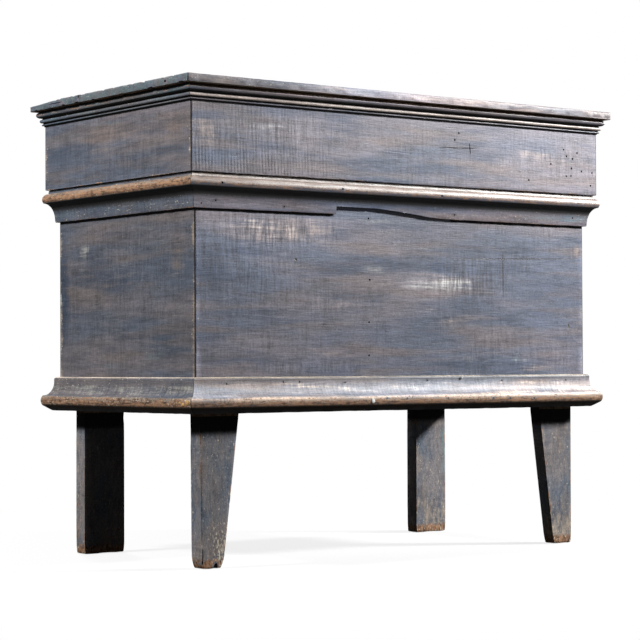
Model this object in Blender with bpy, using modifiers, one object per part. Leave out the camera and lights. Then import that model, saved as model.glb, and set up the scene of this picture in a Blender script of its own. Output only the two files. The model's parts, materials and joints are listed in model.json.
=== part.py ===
"""Blanket chest on plank legs: a nailed board case under a deep lid that hinges at the back.

Metres, +Z up. The origin is on the floor under the middle of the chest, the front faces -Y
and +X runs to the right along the front.
"""

import math
from collections import namedtuple

import bmesh
import bpy

# Case
CASE_WIDTH = 1.050
CASE_DEPTH = 0.528
CASE_CLEARANCE_BELOW = 0.307
PANEL_HEIGHT = 0.3335
FRONT_THICKNESS = 0.020
END_THICKNESS = 0.016
BACK_THICKNESS = 0.030
RIM_HEIGHT = 0.014

# Bottom and divider inside the case
BOTTOM_THICKNESS = 0.020
BOTTOM_PLANKS = 3
CLEAT_WIDTH = 0.026
CLEAT_HEIGHT = 0.022
DIVIDER_THICKNESS = 0.018
DIVIDER_X = -0.090
DIVIDER_DROP = 0.030

# Plank legs, which run up inside the corners of the case as posts. Each was sawn by eye, so each
# has its own width above and at the foot, thickness, and insets from the case's end.
Leg = namedtuple("Leg", "width foot_width thickness inset foot_inset")
LEGS = {
    "front_left": Leg(width=0.095, foot_width=0.053, thickness=0.037, inset=0.008, foot_inset=0.011),
    "front_right": Leg(width=0.099, foot_width=0.056, thickness=0.031, inset=0.003, foot_inset=0.004),
    "rear_left": Leg(width=0.102, foot_width=0.102, thickness=0.035, inset=0.005, foot_inset=0.005),
    "rear_right": Leg(width=0.093, foot_width=0.093, thickness=0.035, inset=0.0, foot_inset=0.0),
}
POST_DROP = 0.060
FOOT_WEAR = 0.003

# Lid
LID_FACE_HEIGHT = 0.138
LID_THICKNESS = 0.021
LID_CLEARANCE = 0.002
TOP_THICKNESS = 0.0175
TOP_OVERHANG = 0.024
TOP_REAR_PLANK = 0.212
TOP_EDGE_ROUND = 0.0025

# Base moulding profile, from the top down; reach is measured out from the case
BASE_LEDGE_REACH = 0.0095
BASE_LEDGE_ROUND = 0.006
BASE_LEDGE_FACE = 0.0045
BASE_COVE_HEIGHT = 0.0295
BASE_NOSE_HEIGHT = 0.0225
BASE_NOSE_REACH = 0.0308
BASE_NOSE_BULGE = 0.0065
BASE_NOSE_SWEEP = math.radians(65)
BASE_UNDERCUT_RISE = 0.0105
BASE_FOOT_REACH = 0.012

# Waist moulding profile, from the top down; the bead stands proud of the lid's face
WAIST_FILLET_HEIGHT = 0.007
WAIST_FILLET_SETBACK = 0.005
WAIST_FILLET_ROUND = 0.0015
WAIST_BEAD_HEIGHT = 0.025
WAIST_BEAD_PROUD = 0.0051
WAIST_BEAD_SWEEP = math.radians(41)
WAIST_COVE_HEIGHT = 0.0375
WAIST_LIP_HEIGHT = 0.004
WAIST_LIP_REACH = 0.0075
WAIST_LIP_TAPER = 0.001

# Length of the front waist moulding whose lower edge has split away
BREAK_START_X = -0.180
BREAK_LEVEL_X = -0.100
BREAK_END_X = 0.135
BREAK_RISE = 0.016

# Cornice profile, from the top down: height, reach out from the lid's face, and bulge of each bead
CORNICE_BEADS = (
    (0.0142, 0.0145, 0.0080),
    (0.0080, 0.0085, 0.0035),
    (0.0040, 0.0055, 0.0020),
)
CORNICE_QUIRK_HEIGHT = 0.0022
CORNICE_QUIRK_DEPTH = 0.0022

# Butt hinges
HINGE_LENGTH = 0.076
HINGE_INSET = 0.160
LEAF_THICKNESS = 0.0025
LEAF_MARGIN = 0.001
KNUCKLE_RADIUS = 0.005
KNUCKLE_COUNT = 3
KNUCKLE_CLEARANCE = 0.0005
PIN_RADIUS = 0.002

# Fits and finish of edges
GAP = 0.0003
EDGE_WEAR = 0.0015
MERGE = 0.00001
ARC_STEPS = 9
ROUND_SIDES = 24
CUT_PAST = 0.004

# Levels, widths and places that follow from the sizes above
BASE_LEDGE_DROP = BASE_LEDGE_ROUND + BASE_LEDGE_FACE
BASE_HEIGHT = BASE_LEDGE_DROP + BASE_COVE_HEIGHT + BASE_NOSE_HEIGHT + BASE_UNDERCUT_RISE
WAIST_BEAD_DROP = WAIST_BEAD_HEIGHT / 2 * (1 + math.sin(WAIST_BEAD_SWEEP))
WAIST_COVE_DROP = WAIST_FILLET_HEIGHT + WAIST_BEAD_DROP
WAIST_HEIGHT = WAIST_COVE_DROP + WAIST_COVE_HEIGHT + WAIST_LIP_HEIGHT
CORNICE_HEIGHT = sum(height + CORNICE_QUIRK_HEIGHT for height, _, _ in CORNICE_BEADS)
CASE_BOTTOM_Z = CASE_CLEARANCE_BELOW
BASE_TOP_Z = CASE_BOTTOM_Z + BASE_HEIGHT
JOINT_Z = BASE_TOP_Z + PANEL_HEIGHT + WAIST_HEIGHT
RIM_Z = JOINT_Z + RIM_HEIGHT
TOP_UNDER_Z = JOINT_Z + LID_FACE_HEIGHT + CORNICE_HEIGHT
TOP_Z = TOP_UNDER_Z + TOP_THICKNESS
HALF_WIDTH = CASE_WIDTH / 2
HALF_DEPTH = CASE_DEPTH / 2
LID_OVERHANG = LID_CLEARANCE + LID_THICKNESS
LID_HALF_WIDTH = HALF_WIDTH + LID_OVERHANG
LID_HALF_DEPTH = HALF_DEPTH + LID_OVERHANG
TOP_HALF_WIDTH = LID_HALF_WIDTH + TOP_OVERHANG
TOP_HALF_DEPTH = LID_HALF_DEPTH + TOP_OVERHANG
BOTTOM_UNDER_Z = CASE_BOTTOM_Z + CLEAT_HEIGHT + GAP
BOTTOM_TOP_Z = BOTTOM_UNDER_Z + BOTTOM_THICKNESS
INNER_HALF_WIDTH = HALF_WIDTH - END_THICKNESS - GAP
INNER_FRONT_Y = -HALF_DEPTH + FRONT_THICKNESS + GAP
INNER_BACK_Y = HALF_DEPTH - BACK_THICKNESS - GAP
HINGE_Y = LID_HALF_DEPTH + KNUCKLE_RADIUS + KNUCKLE_CLEARANCE
HINGE_Z = JOINT_Z - GAP / 2
HINGE_X = LID_HALF_WIDTH - HINGE_INSET

# Sides of the chest as the turn about +Z that takes +X to the side's outward direction
SIDES = {
    "right": 0.0,
    "back": math.pi / 2,
    "left": math.pi,
    "front": -math.pi / 2,
}

# Finishes: base colour, roughness, metallic
PAINTED_BOARD = ((0.125, 0.128, 0.150), 0.55, 0.0)
PAINTED_MOULDING = ((0.190, 0.165, 0.150), 0.45, 0.0)
PAINTED_LEG = ((0.120, 0.122, 0.135), 0.60, 0.0)
BARE_WOOD = ((0.170, 0.110, 0.065), 0.75, 0.0)
FORGED_IRON = ((0.045, 0.042, 0.040), 0.50, 0.9)


def clear_scene():
    """Remove whatever objects the open file holds."""
    for old in list(bpy.data.objects):
        bpy.data.objects.remove(old)


def new_collection(name):
    collection = bpy.data.collections.new(name)
    bpy.context.scene.collection.children.link(collection)
    return collection


clear_scene()
CHEST = new_collection("blanket_chest")
CUTTERS = new_collection("cutters")

LID_AXIS = bpy.data.objects.new("lid_hinge_axis", None)
LID_AXIS.location = (0.0, HINGE_Y, HINGE_Z)
CHEST.objects.link(LID_AXIS)


def finish_material(name, finish):
    colour, roughness, metallic = finish
    material = bpy.data.materials.new(name + "_finish")
    material.use_nodes = True
    shader = material.node_tree.nodes["Principled BSDF"]
    shader.inputs["Base Color"].default_value = (*colour, 1.0)
    shader.inputs["Roughness"].default_value = roughness
    shader.inputs["Metallic"].default_value = metallic
    return material


def add_part(name, mesh, location, rotation, finish, on_lid=False):
    """Put a mesh in the chest at a world place; lid pieces hang on the hinge axis."""
    part = bpy.data.objects.new(name, mesh)
    CHEST.objects.link(part)
    part.rotation_euler = rotation
    part.location = location
    if on_lid:
        part.parent = LID_AXIS
        part.location = [world - axis for world, axis in zip(location, LID_AXIS.location)]
    mesh.materials.append(finish_material(name, finish))
    return part


def add_cutter(name, mesh, location, rotation=(0.0, 0.0, 0.0)):
    """A helper solid for a Boolean, which is not one of the chest's pieces."""
    cutter = bpy.data.objects.new(name, mesh)
    CUTTERS.objects.link(cutter)
    cutter.location = location
    cutter.rotation_euler = rotation
    cutter.hide_render = True
    cutter.display_type = "WIRE"
    return cutter


def combine(part, operation, helper):
    modifier = part.modifiers.new(operation.lower(), "BOOLEAN")
    modifier.operation = operation
    modifier.object = helper


def soften_edges(part, width, segments=2):
    """Round a piece's arrises as handling has."""
    bevel = part.modifiers.new("worn_edges", "BEVEL")
    bevel.width = width
    bevel.segments = segments
    bevel.limit_method = "ANGLE"
    bevel.angle_limit = math.radians(40)


def block_mesh(name, size):
    """A squared block centred on its own origin."""
    shape = bmesh.new()
    bmesh.ops.create_cube(shape, size=1.0)
    bmesh.ops.scale(shape, vec=size, verts=shape.verts)
    mesh = bpy.data.meshes.new(name)
    shape.to_mesh(mesh)
    shape.free()
    return mesh


def round_mesh(name, radius, length):
    """A round bar along its own Z, centred on its origin."""
    shape = bmesh.new()
    bmesh.ops.create_cone(
        shape,
        cap_ends=True,
        segments=ROUND_SIDES,
        radius1=radius,
        radius2=radius,
        depth=length,
    )
    mesh = bpy.data.meshes.new(name)
    shape.to_mesh(mesh)
    shape.free()
    mesh.shade_smooth()
    mesh.set_sharp_from_angle(angle=math.radians(40))
    return mesh


def outline_mesh(name, points, thickness, mitred=False):
    """A flat outline in local XY with a thickness along local Z.

    A mitred run is lengthened at both ends by each point's local X, so that it meets a like
    run round an outside corner at 45 degrees.
    """
    curve = bpy.data.curves.new(name, "CURVE")
    curve.dimensions = "2D"
    curve.fill_mode = "BOTH"
    curve.extrude = thickness / 2
    spline = curve.splines.new("POLY")
    spline.points.add(len(points) - 1)
    for point, (x, y) in zip(spline.points, points):
        point.co = (x, y, 0.0, 1.0)
    spline.use_cyclic_u = True
    drawn = bpy.data.objects.new(name, curve)
    bpy.context.scene.collection.objects.link(drawn)
    graph = bpy.context.evaluated_depsgraph_get()
    mesh = bpy.data.meshes.new_from_object(drawn.evaluated_get(graph))
    bpy.data.objects.remove(drawn)
    shape = bmesh.new()
    shape.from_mesh(mesh)
    bmesh.ops.remove_doubles(shape, verts=shape.verts, dist=MERGE)
    if mitred:
        for vert in shape.verts:
            vert.co.z += math.copysign(vert.co.x, vert.co.z)
    bmesh.ops.recalc_face_normals(shape, faces=shape.faces)
    shape.to_mesh(mesh)
    shape.free()
    mesh.name = name
    return mesh


def arc(centre, radii, start, end):
    """Points along an ellipse from a start to an end angle, both included."""
    points = []
    for step in range(ARC_STEPS + 1):
        angle = start + (end - start) * step / ARC_STEPS
        x = centre[0] + radii[0] * math.cos(angle)
        y = centre[1] + radii[1] * math.sin(angle)
        points.append((x, y))
    return points


def add_board(name, low, high, finish, on_lid=False, wear=EDGE_WEAR, segments=2):
    """A squared board between two corners, with worn arrises."""
    size = [top - bottom for bottom, top in zip(low, high)]
    middle = [(bottom + top) / 2 for bottom, top in zip(low, high)]
    board = add_part(name, block_mesh(name, size), middle, (0.0, 0.0, 0.0), finish, on_lid)
    soften_edges(board, wear, segments)
    return board


def add_mouldings(kind, profile, half_width, half_depth, top_z, on_lid=False):
    """Run one profile round all four sides, mitred at the corners."""
    runs = {}
    for side, turn in SIDES.items():
        across = half_width if side in ("left", "right") else half_depth
        half_length = half_depth if side in ("left", "right") else half_width
        name = f"{kind}_moulding_{side}"
        mesh = outline_mesh(name, profile, 2 * (half_length - GAP), mitred=True)
        mesh.shade_smooth()
        mesh.set_sharp_from_angle(angle=math.radians(30))
        location = (math.cos(turn) * across, math.sin(turn) * across, top_z)
        rotation = (math.pi / 2, 0.0, turn)
        runs[side] = add_part(name, mesh, location, rotation, PAINTED_MOULDING, on_lid)
    return runs


def base_profile():
    """Ledge, cove and round nose, cut back underneath."""
    nose_x = BASE_NOSE_REACH - BASE_NOSE_BULGE
    nose_z = -BASE_LEDGE_DROP - BASE_COVE_HEIGHT - BASE_NOSE_HEIGHT / 2
    nose_radii = (BASE_NOSE_BULGE, BASE_NOSE_HEIGHT / 2 / math.sin(BASE_NOSE_SWEEP))
    nose = arc((nose_x, nose_z), nose_radii, -BASE_NOSE_SWEEP, BASE_NOSE_SWEEP)
    shoulder_x = nose[-1][0]
    cove_radii = (shoulder_x - BASE_LEDGE_REACH, BASE_COVE_HEIGHT)
    cove = arc((shoulder_x, -BASE_LEDGE_DROP), cove_radii, 1.5 * math.pi, math.pi)
    ledge_radii = (min(BASE_LEDGE_ROUND, BASE_LEDGE_REACH - 2 * GAP), BASE_LEDGE_ROUND)
    ledge = arc((BASE_LEDGE_REACH - ledge_radii[0], -ledge_radii[1]), ledge_radii, 0.0, math.pi / 2)
    foot = [(GAP, -BASE_HEIGHT), (BASE_FOOT_REACH, -BASE_HEIGHT)]
    return foot + nose + cove[1:] + ledge + [(GAP, 0.0)]


def waist_profile():
    """Fillet that the lid sits on, round bead, and a cove down to a thin lip."""
    fillet_x = LID_OVERHANG - WAIST_FILLET_SETBACK
    bead_radii = (WAIST_FILLET_SETBACK + WAIST_BEAD_PROUD, WAIST_BEAD_HEIGHT / 2)
    bead_z = -WAIST_FILLET_HEIGHT - bead_radii[1]
    bead = arc((fillet_x, bead_z), bead_radii, -WAIST_BEAD_SWEEP, math.pi / 2)
    cove_x = bead[0][0]
    cove_radii = (cove_x - WAIST_LIP_REACH, WAIST_COVE_HEIGHT)
    cove_z = -WAIST_COVE_DROP - WAIST_COVE_HEIGHT
    cove = arc((cove_x, cove_z), cove_radii, math.pi, math.pi / 2)
    round_radii = (WAIST_FILLET_ROUND, WAIST_FILLET_ROUND)
    fillet = arc((fillet_x - WAIST_FILLET_ROUND, -WAIST_FILLET_ROUND), round_radii, 0.0, math.pi / 2)
    lip = [(GAP, -WAIST_HEIGHT), (WAIST_LIP_REACH - WAIST_LIP_TAPER, -WAIST_HEIGHT)]
    return lip + cove[:-1] + bead + fillet + [(GAP, 0.0)]


def cornice_profile():
    """Three beads that step in towards the lid's face, with a sunk quirk under each."""
    points = [(GAP, 0.0)]
    top_z = 0.0
    for height, reach, bulge in CORNICE_BEADS:
        centre = (reach - bulge, top_z - height / 2)
        points += arc(centre, (bulge, height / 2), math.pi / 2, -math.pi / 2)
        quirk_x = reach - bulge - CORNICE_QUIRK_DEPTH
        foot_z = top_z - height
        points += [(quirk_x, foot_z), (quirk_x, foot_z - CORNICE_QUIRK_HEIGHT)]
        top_z = foot_z - CORNICE_QUIRK_HEIGHT
    points.append((GAP, -CORNICE_HEIGHT))
    return points


def add_box(prefix, half_width, half_depth, thicknesses, rise, on_lid=False):
    """Four boards on edge round a box, mitred from its outer to its inner corners."""
    boards = {}
    order = list(SIDES)
    for number, (side, turn) in enumerate(SIDES.items()):
        at_end = side in ("left", "right")
        across, half_length = (half_width, half_depth) if at_end else (half_depth, half_width)
        reach = half_length - GAP
        thickness = thicknesses[side]
        before, after = (thicknesses[order[(number + step) % len(order)]] for step in (-1, 1))
        outline = [(0.0, -reach), (0.0, reach), (-thickness, reach - after), (-thickness, before - reach)]
        name = f"{prefix}{side}_end_board" if at_end else f"{prefix}{side}_board"
        mesh = outline_mesh(name, outline, rise[1] - rise[0])
        place = (math.cos(turn) * across, math.sin(turn) * across, sum(rise) / 2)
        boards[side] = add_part(name, mesh, place, (0.0, 0.0, turn), PAINTED_BOARD, on_lid)
        soften_edges(boards[side], EDGE_WEAR)
    return boards


def build_case():
    thicknesses = {
        "front": FRONT_THICKNESS,
        "right": END_THICKNESS,
        "back": BACK_THICKNESS,
        "left": END_THICKNESS,
    }
    add_box("", HALF_WIDTH, HALF_DEPTH, thicknesses, (CASE_BOTTOM_Z, RIM_Z))


def build_legs():
    """Front legs taper below the case; rear legs are straight planks."""
    post_top = RIM_Z - POST_DROP
    for name, leg in LEGS.items():
        outline = [
            (leg.foot_inset, 0.0),
            (leg.foot_inset + leg.foot_width, 0.0),
            (leg.inset + leg.width, CASE_BOTTOM_Z),
            (leg.inset + leg.width, post_top),
            (leg.inset, post_top),
            (leg.inset, CASE_BOTTOM_Z),
        ]
        row, side = name.split("_")
        sign = -1 if side == "left" else 1
        points = [(sign * (INNER_HALF_WIDTH - x), z) for x, z in outline]
        front_y = INNER_FRONT_Y if row == "front" else INNER_BACK_Y - leg.thickness
        mesh = outline_mesh(name + "_leg", points, leg.thickness)
        place = (0.0, front_y + leg.thickness / 2, 0.0)
        post = add_part(name + "_leg", mesh, place, (math.pi / 2, 0.0, 0.0), PAINTED_LEG)
        soften_edges(post, FOOT_WEAR)


def bottom_end(side, number, low, high):
    """Edge of a bottom plank at one end of the case, front to rear, notched round the posts."""
    points = [(INNER_HALF_WIDTH, low), (INNER_HALF_WIDTH, high)]
    if number == 0:
        leg = LEGS[f"front_{side}"]
        inner_x = INNER_HALF_WIDTH - leg.inset - leg.width - GAP
        step_y = low + leg.thickness + GAP
        points[:1] = [(inner_x, low), (inner_x, step_y), (INNER_HALF_WIDTH, step_y)]
    if number == BOTTOM_PLANKS - 1:
        leg = LEGS[f"rear_{side}"]
        inner_x = INNER_HALF_WIDTH - leg.inset - leg.width - GAP
        step_y = high - leg.thickness - GAP
        points[-1:] = [(INNER_HALF_WIDTH, step_y), (inner_x, step_y), (inner_x, high)]
    return points


def build_bottom():
    """Planks along the case, notched round the posts, on a cleat at each end."""
    depth = (INNER_BACK_Y - INNER_FRONT_Y - (BOTTOM_PLANKS - 1) * GAP) / BOTTOM_PLANKS
    for number in range(BOTTOM_PLANKS):
        low = INNER_FRONT_Y + number * (depth + GAP)
        outline = bottom_end("right", number, low, low + depth)
        outline += [(-x, y) for x, y in reversed(bottom_end("left", number, low, low + depth))]
        name = f"bottom_plank_{number + 1}"
        middle_z = BOTTOM_UNDER_Z + BOTTOM_THICKNESS / 2
        mesh = outline_mesh(name, outline, BOTTOM_THICKNESS)
        add_part(name, mesh, (0.0, 0.0, middle_z), (0.0, 0.0, 0.0), BARE_WOOD)
    for side, sign in (("left", -1), ("right", 1)):
        faces = sorted((sign * INNER_HALF_WIDTH, sign * (INNER_HALF_WIDTH - CLEAT_WIDTH)))
        front_y = INNER_FRONT_Y + LEGS[f"front_{side}"].thickness + GAP
        rear_y = INNER_BACK_Y - LEGS[f"rear_{side}"].thickness - GAP
        add_board(
            f"{side}_bottom_cleat",
            (faces[0], front_y, CASE_BOTTOM_Z),
            (faces[1], rear_y, CASE_BOTTOM_Z + CLEAT_HEIGHT),
            BARE_WOOD,
        )


def build_divider():
    add_board(
        "divider",
        (DIVIDER_X - DIVIDER_THICKNESS / 2, INNER_FRONT_Y, BOTTOM_TOP_Z + GAP),
        (DIVIDER_X + DIVIDER_THICKNESS / 2, INNER_BACK_Y, RIM_Z - DIVIDER_DROP),
        BARE_WOOD,
    )


def break_outline():
    """The split-away part of the moulding's lower edge: a sharp step, level, then an S back."""
    lip_z = JOINT_Z - GAP - WAIST_HEIGHT
    points = [(BREAK_START_X, lip_z - CUT_PAST), (BREAK_END_X, lip_z - CUT_PAST)]
    steps = 14
    for step in range(steps + 1):
        along = step / steps
        x = BREAK_END_X + (BREAK_LEVEL_X - BREAK_END_X) * along
        points.append((x, lip_z + BREAK_RISE * along * along * (3 - 2 * along)))
    points.append((BREAK_START_X, lip_z + BREAK_RISE))
    return points


def build_case_mouldings():
    add_mouldings("base", base_profile(), HALF_WIDTH, HALF_DEPTH, BASE_TOP_Z)
    waist = add_mouldings("waist", waist_profile(), HALF_WIDTH, HALF_DEPTH, JOINT_Z - GAP)
    reach = LID_OVERHANG + WAIST_BEAD_PROUD + CUT_PAST
    cutter_mesh = outline_mesh("waist_break", break_outline(), 2 * reach)
    cutter = add_cutter("waist_break", cutter_mesh, (0.0, -HALF_DEPTH, 0.0), (math.pi / 2, 0.0, 0.0))
    combine(waist["front"], "DIFFERENCE", cutter)
    return waist


def build_lid():
    """Four boards, mitred like the case, under two top planks with the cornice below their edge."""
    rise = (JOINT_Z, TOP_UNDER_Z - GAP)
    thicknesses = dict.fromkeys(SIDES, LID_THICKNESS)
    boards = add_box("lid_", LID_HALF_WIDTH, LID_HALF_DEPTH, thicknesses, rise, on_lid=True)
    seam_y = TOP_HALF_DEPTH - TOP_REAR_PLANK
    planks = (
        ("lid_top_front_plank", -TOP_HALF_DEPTH, seam_y - GAP),
        ("lid_top_rear_plank", seam_y, TOP_HALF_DEPTH),
    )
    for name, front_y, rear_y in planks:
        add_board(
            name,
            (-TOP_HALF_WIDTH, front_y, TOP_UNDER_Z),
            (TOP_HALF_WIDTH, rear_y, TOP_Z),
            PAINTED_BOARD,
            on_lid=True,
            wear=TOP_EDGE_ROUND,
            segments=3,
        )
    cornice_z = TOP_UNDER_Z - GAP
    add_mouldings("cornice", cornice_profile(), LID_HALF_WIDTH, LID_HALF_DEPTH, cornice_z, True)
    return boards["back"]


def leaf_outline(own_knuckles, knuckle_length):
    """Leaf in plan, X along the hinge and Y out to the pin, with tabs to its own knuckles."""
    inner_y = HALF_DEPTH + LID_CLEARANCE + LEAF_MARGIN - HINGE_Y
    outer_y = -KNUCKLE_RADIUS - KNUCKLE_CLEARANCE
    points = [(-HINGE_LENGTH / 2, inner_y), (HINGE_LENGTH / 2, inner_y)]
    for knuckle in reversed(range(KNUCKLE_COUNT)):
        middle = (knuckle - (KNUCKLE_COUNT - 1) / 2) * HINGE_LENGTH / KNUCKLE_COUNT
        if knuckle in own_knuckles:
            points += [
                (middle + knuckle_length / 2, outer_y),
                (middle + knuckle_length / 2, 0.0),
                (middle - knuckle_length / 2, 0.0),
                (middle - knuckle_length / 2, outer_y),
            ]
    points[2:2] = [(HINGE_LENGTH / 2, outer_y)]
    points.append((-HINGE_LENGTH / 2, outer_y))
    return points


def build_hinge(side, x, waist_back, lid_back):
    """A butt hinge let into the lid's back board above and the waist moulding below."""
    along_x = (0.0, math.pi / 2, 0.0)
    axis = (x, HINGE_Y, HINGE_Z)
    pitch = HINGE_LENGTH / KNUCKLE_COUNT
    knuckle_length = pitch - KNUCKLE_CLEARANCE
    plate_rise = GAP / 2 + LEAF_THICKNESS / 2
    bore_mesh = round_mesh(f"{side}_hinge_bore", PIN_RADIUS + GAP, HINGE_LENGTH + 2 * CUT_PAST)
    bore = add_cutter(f"{side}_hinge_bore", bore_mesh, axis, along_x)
    leaves = (
        ("lower", -1, range(0, KNUCKLE_COUNT, 2), False, waist_back),
        ("upper", 1, range(1, KNUCKLE_COUNT, 2), True, lid_back),
    )
    for level, up, own_knuckles, on_lid, wood in leaves:
        name = f"{side}_hinge_{level}_leaf"
        mesh = outline_mesh(name, leaf_outline(own_knuckles, knuckle_length), LEAF_THICKNESS)
        plate_z = HINGE_Z + up * plate_rise
        leaf = add_part(name, mesh, (x, HINGE_Y, plate_z), (0.0, 0.0, 0.0), FORGED_IRON, on_lid)
        for knuckle in own_knuckles:
            middle = x + (knuckle - (KNUCKLE_COUNT - 1) / 2) * pitch
            barrel_name = f"{name}_knuckle_{knuckle}"
            barrel_mesh = round_mesh(barrel_name, KNUCKLE_RADIUS, knuckle_length)
            barrel = add_cutter(barrel_name, barrel_mesh, (middle, HINGE_Y, HINGE_Z), along_x)
            combine(leaf, "UNION", barrel)
        combine(leaf, "DIFFERENCE", bore)
        inner_y = HALF_DEPTH + LID_CLEARANCE + LEAF_MARGIN - GAP
        mortise_size = (
            HINGE_LENGTH + 2 * GAP,
            HINGE_Y - inner_y,
            LEAF_THICKNESS + GAP + CUT_PAST,
        )
        mortise_z = HINGE_Z + up * (GAP / 2 + LEAF_THICKNESS + GAP - mortise_size[2] / 2)
        mortise_mesh = block_mesh(f"{name}_mortise", mortise_size)
        mortise_place = (x, (inner_y + HINGE_Y) / 2, mortise_z)
        combine(wood, "DIFFERENCE", add_cutter(f"{name}_mortise", mortise_mesh, mortise_place))
    pin_mesh = round_mesh(f"{side}_hinge_pin", PIN_RADIUS, HINGE_LENGTH)
    add_part(f"{side}_hinge_pin", pin_mesh, axis, along_x, FORGED_IRON)


def main():
    build_case()
    build_legs()
    build_bottom()
    build_divider()
    waist = build_case_mouldings()
    lid_back = build_lid()
    for side, x in (("left", -HINGE_X), ("right", HINGE_X)):
        build_hinge(side, x, waist["back"], lid_back)


main()
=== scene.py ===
"""Finish of the blanket chest: worn slate-blue paint over brown wood, small damage, plain stage.

Laid out as an add-on and run as a script. Metres, in the chest's own frame: the front faces -Y,
+X runs to the right along the front and the feet stand on Z = 0.
"""

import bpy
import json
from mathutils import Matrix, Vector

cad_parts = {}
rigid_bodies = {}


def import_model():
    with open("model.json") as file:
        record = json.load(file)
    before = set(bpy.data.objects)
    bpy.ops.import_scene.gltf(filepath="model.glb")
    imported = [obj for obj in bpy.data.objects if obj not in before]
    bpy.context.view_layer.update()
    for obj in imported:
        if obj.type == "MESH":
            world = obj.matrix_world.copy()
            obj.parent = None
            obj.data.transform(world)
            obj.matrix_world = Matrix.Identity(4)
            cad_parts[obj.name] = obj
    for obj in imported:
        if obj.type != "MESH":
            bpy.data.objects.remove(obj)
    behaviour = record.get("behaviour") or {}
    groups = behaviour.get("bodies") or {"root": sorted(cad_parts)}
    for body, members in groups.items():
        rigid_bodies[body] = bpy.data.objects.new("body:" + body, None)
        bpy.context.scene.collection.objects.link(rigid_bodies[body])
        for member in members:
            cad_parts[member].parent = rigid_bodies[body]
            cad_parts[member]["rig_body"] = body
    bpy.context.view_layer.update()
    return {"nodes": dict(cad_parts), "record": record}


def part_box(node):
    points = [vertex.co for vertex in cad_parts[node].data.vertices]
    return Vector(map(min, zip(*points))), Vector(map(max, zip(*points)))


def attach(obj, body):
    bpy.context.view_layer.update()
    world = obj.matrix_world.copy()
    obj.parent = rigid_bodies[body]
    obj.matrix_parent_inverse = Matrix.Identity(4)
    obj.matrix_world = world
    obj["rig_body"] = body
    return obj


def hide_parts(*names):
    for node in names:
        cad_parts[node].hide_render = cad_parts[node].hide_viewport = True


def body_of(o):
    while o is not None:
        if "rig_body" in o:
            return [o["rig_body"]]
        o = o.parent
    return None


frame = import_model()

import json
import math

import bmesh
import bpy
from bpy.props import FloatProperty, FloatVectorProperty, PointerProperty
from mathutils import Matrix, Vector, noise
from mathutils.bvhtree import BVHTree

bl_info = {
    "name": "Blanket chest finish",
    "version": (1, 0, 0),
    "blender": (4, 5, 0),
    "location": "3D View > Sidebar > Chest",
    "description": "Worn paint, bare wood, iron and small damage for the blanket chest",
    "category": "Object",
}

AXES = (Vector((1, 0, 0)), Vector((0, 1, 0)), Vector((0, 0, 1)))
LENGTHWISE, DEEP, UPRIGHT = 0, 1, 2
OUTWARD = {
    "front": Vector((0, -1, 0)),
    "back": Vector((0, 1, 0)),
    "left": Vector((-1, 0, 0)),
    "right": Vector((1, 0, 0)),
}

# Mesh work: corners this near are one, edges this short go, and faces join or part at these angles
MERGE = 0.00001
SLIVER = 0.0004
FLAT_ANGLE = math.radians(1.0)
SHARP_ANGLE = math.radians(34.0)

# An even cut stays this share of its pitch clear of the others; round cutters have these facets
CUT_CLEARANCE = 0.4
HOLE_FACETS, SCREW_FACETS, LENS_FACETS, LENS_RINGS = 9, 20, 8, 6

# A patch is whole within this share of its half sizes and gone past that one
PATCH_CORE, PATCH_RIM = 0.2, 1.7

# Wear: waves per metre of its rubs, nicks, chips and sway, and how it keeps clear of the next face
RUB_WAVES, NICK_WAVES, CHIP_WAVES, SWAY_WAVES = 24.0, 42.0, 150.0, 7.0
ARRIS_GAIN = 5.0
STEEP_FALL = 0.3
FALL_SHARE = 0.35
THICKNESS_SHARE = 0.3

# Faces and corners that look this far against a piece's outward side are inner ones
INNER_FACE, INNER_CORNER = -0.7, -0.3

# What a place shows: bare wood, rubbed, thin, brown, stained or thick paint, soiling and painted shade,
# tool scores, painted highlights and sheen, and flakes of older white paint
# Rubbed and thin paint also colour the painted highlights on beads, coves and edges
LAYERS = ("wear", "pale", "peach", "umber", "teal", "blue", "grime", "score", "light", "flake")

# Levels and faces of the chest, read from its own pieces
CASE_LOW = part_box("front_board")[0]
LID_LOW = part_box("lid_front_board")[0]
TOP_LOW, TOP_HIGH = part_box("lid_top_rear_plank")
SEAM_Y = TOP_LOW.y
JOINT_Z = LID_LOW.z
LIP_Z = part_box("waist_moulding_left")[0].z

# Colours that only one finish uses
HOLE_RIM = (0.025, 0.016, 0.011, 1.0)
PITTED_IRON = (0.025, 0.022, 0.021, 1.0)
RUST = (0.11, 0.045, 0.02, 1.0)
WEATHERED_WOOD = ((0.20, 0.17, 0.14, 1.0), (0.05, 0.055, 0.06, 1.0))
WHITE_CHIP = ((0.85, 0.84, 0.80, 1.0), (0.60, 0.58, 0.54, 1.0))
GOLD_CHIP = ((0.78, 0.49, 0.18, 1.0), (0.38, 0.20, 0.08, 1.0))


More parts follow.
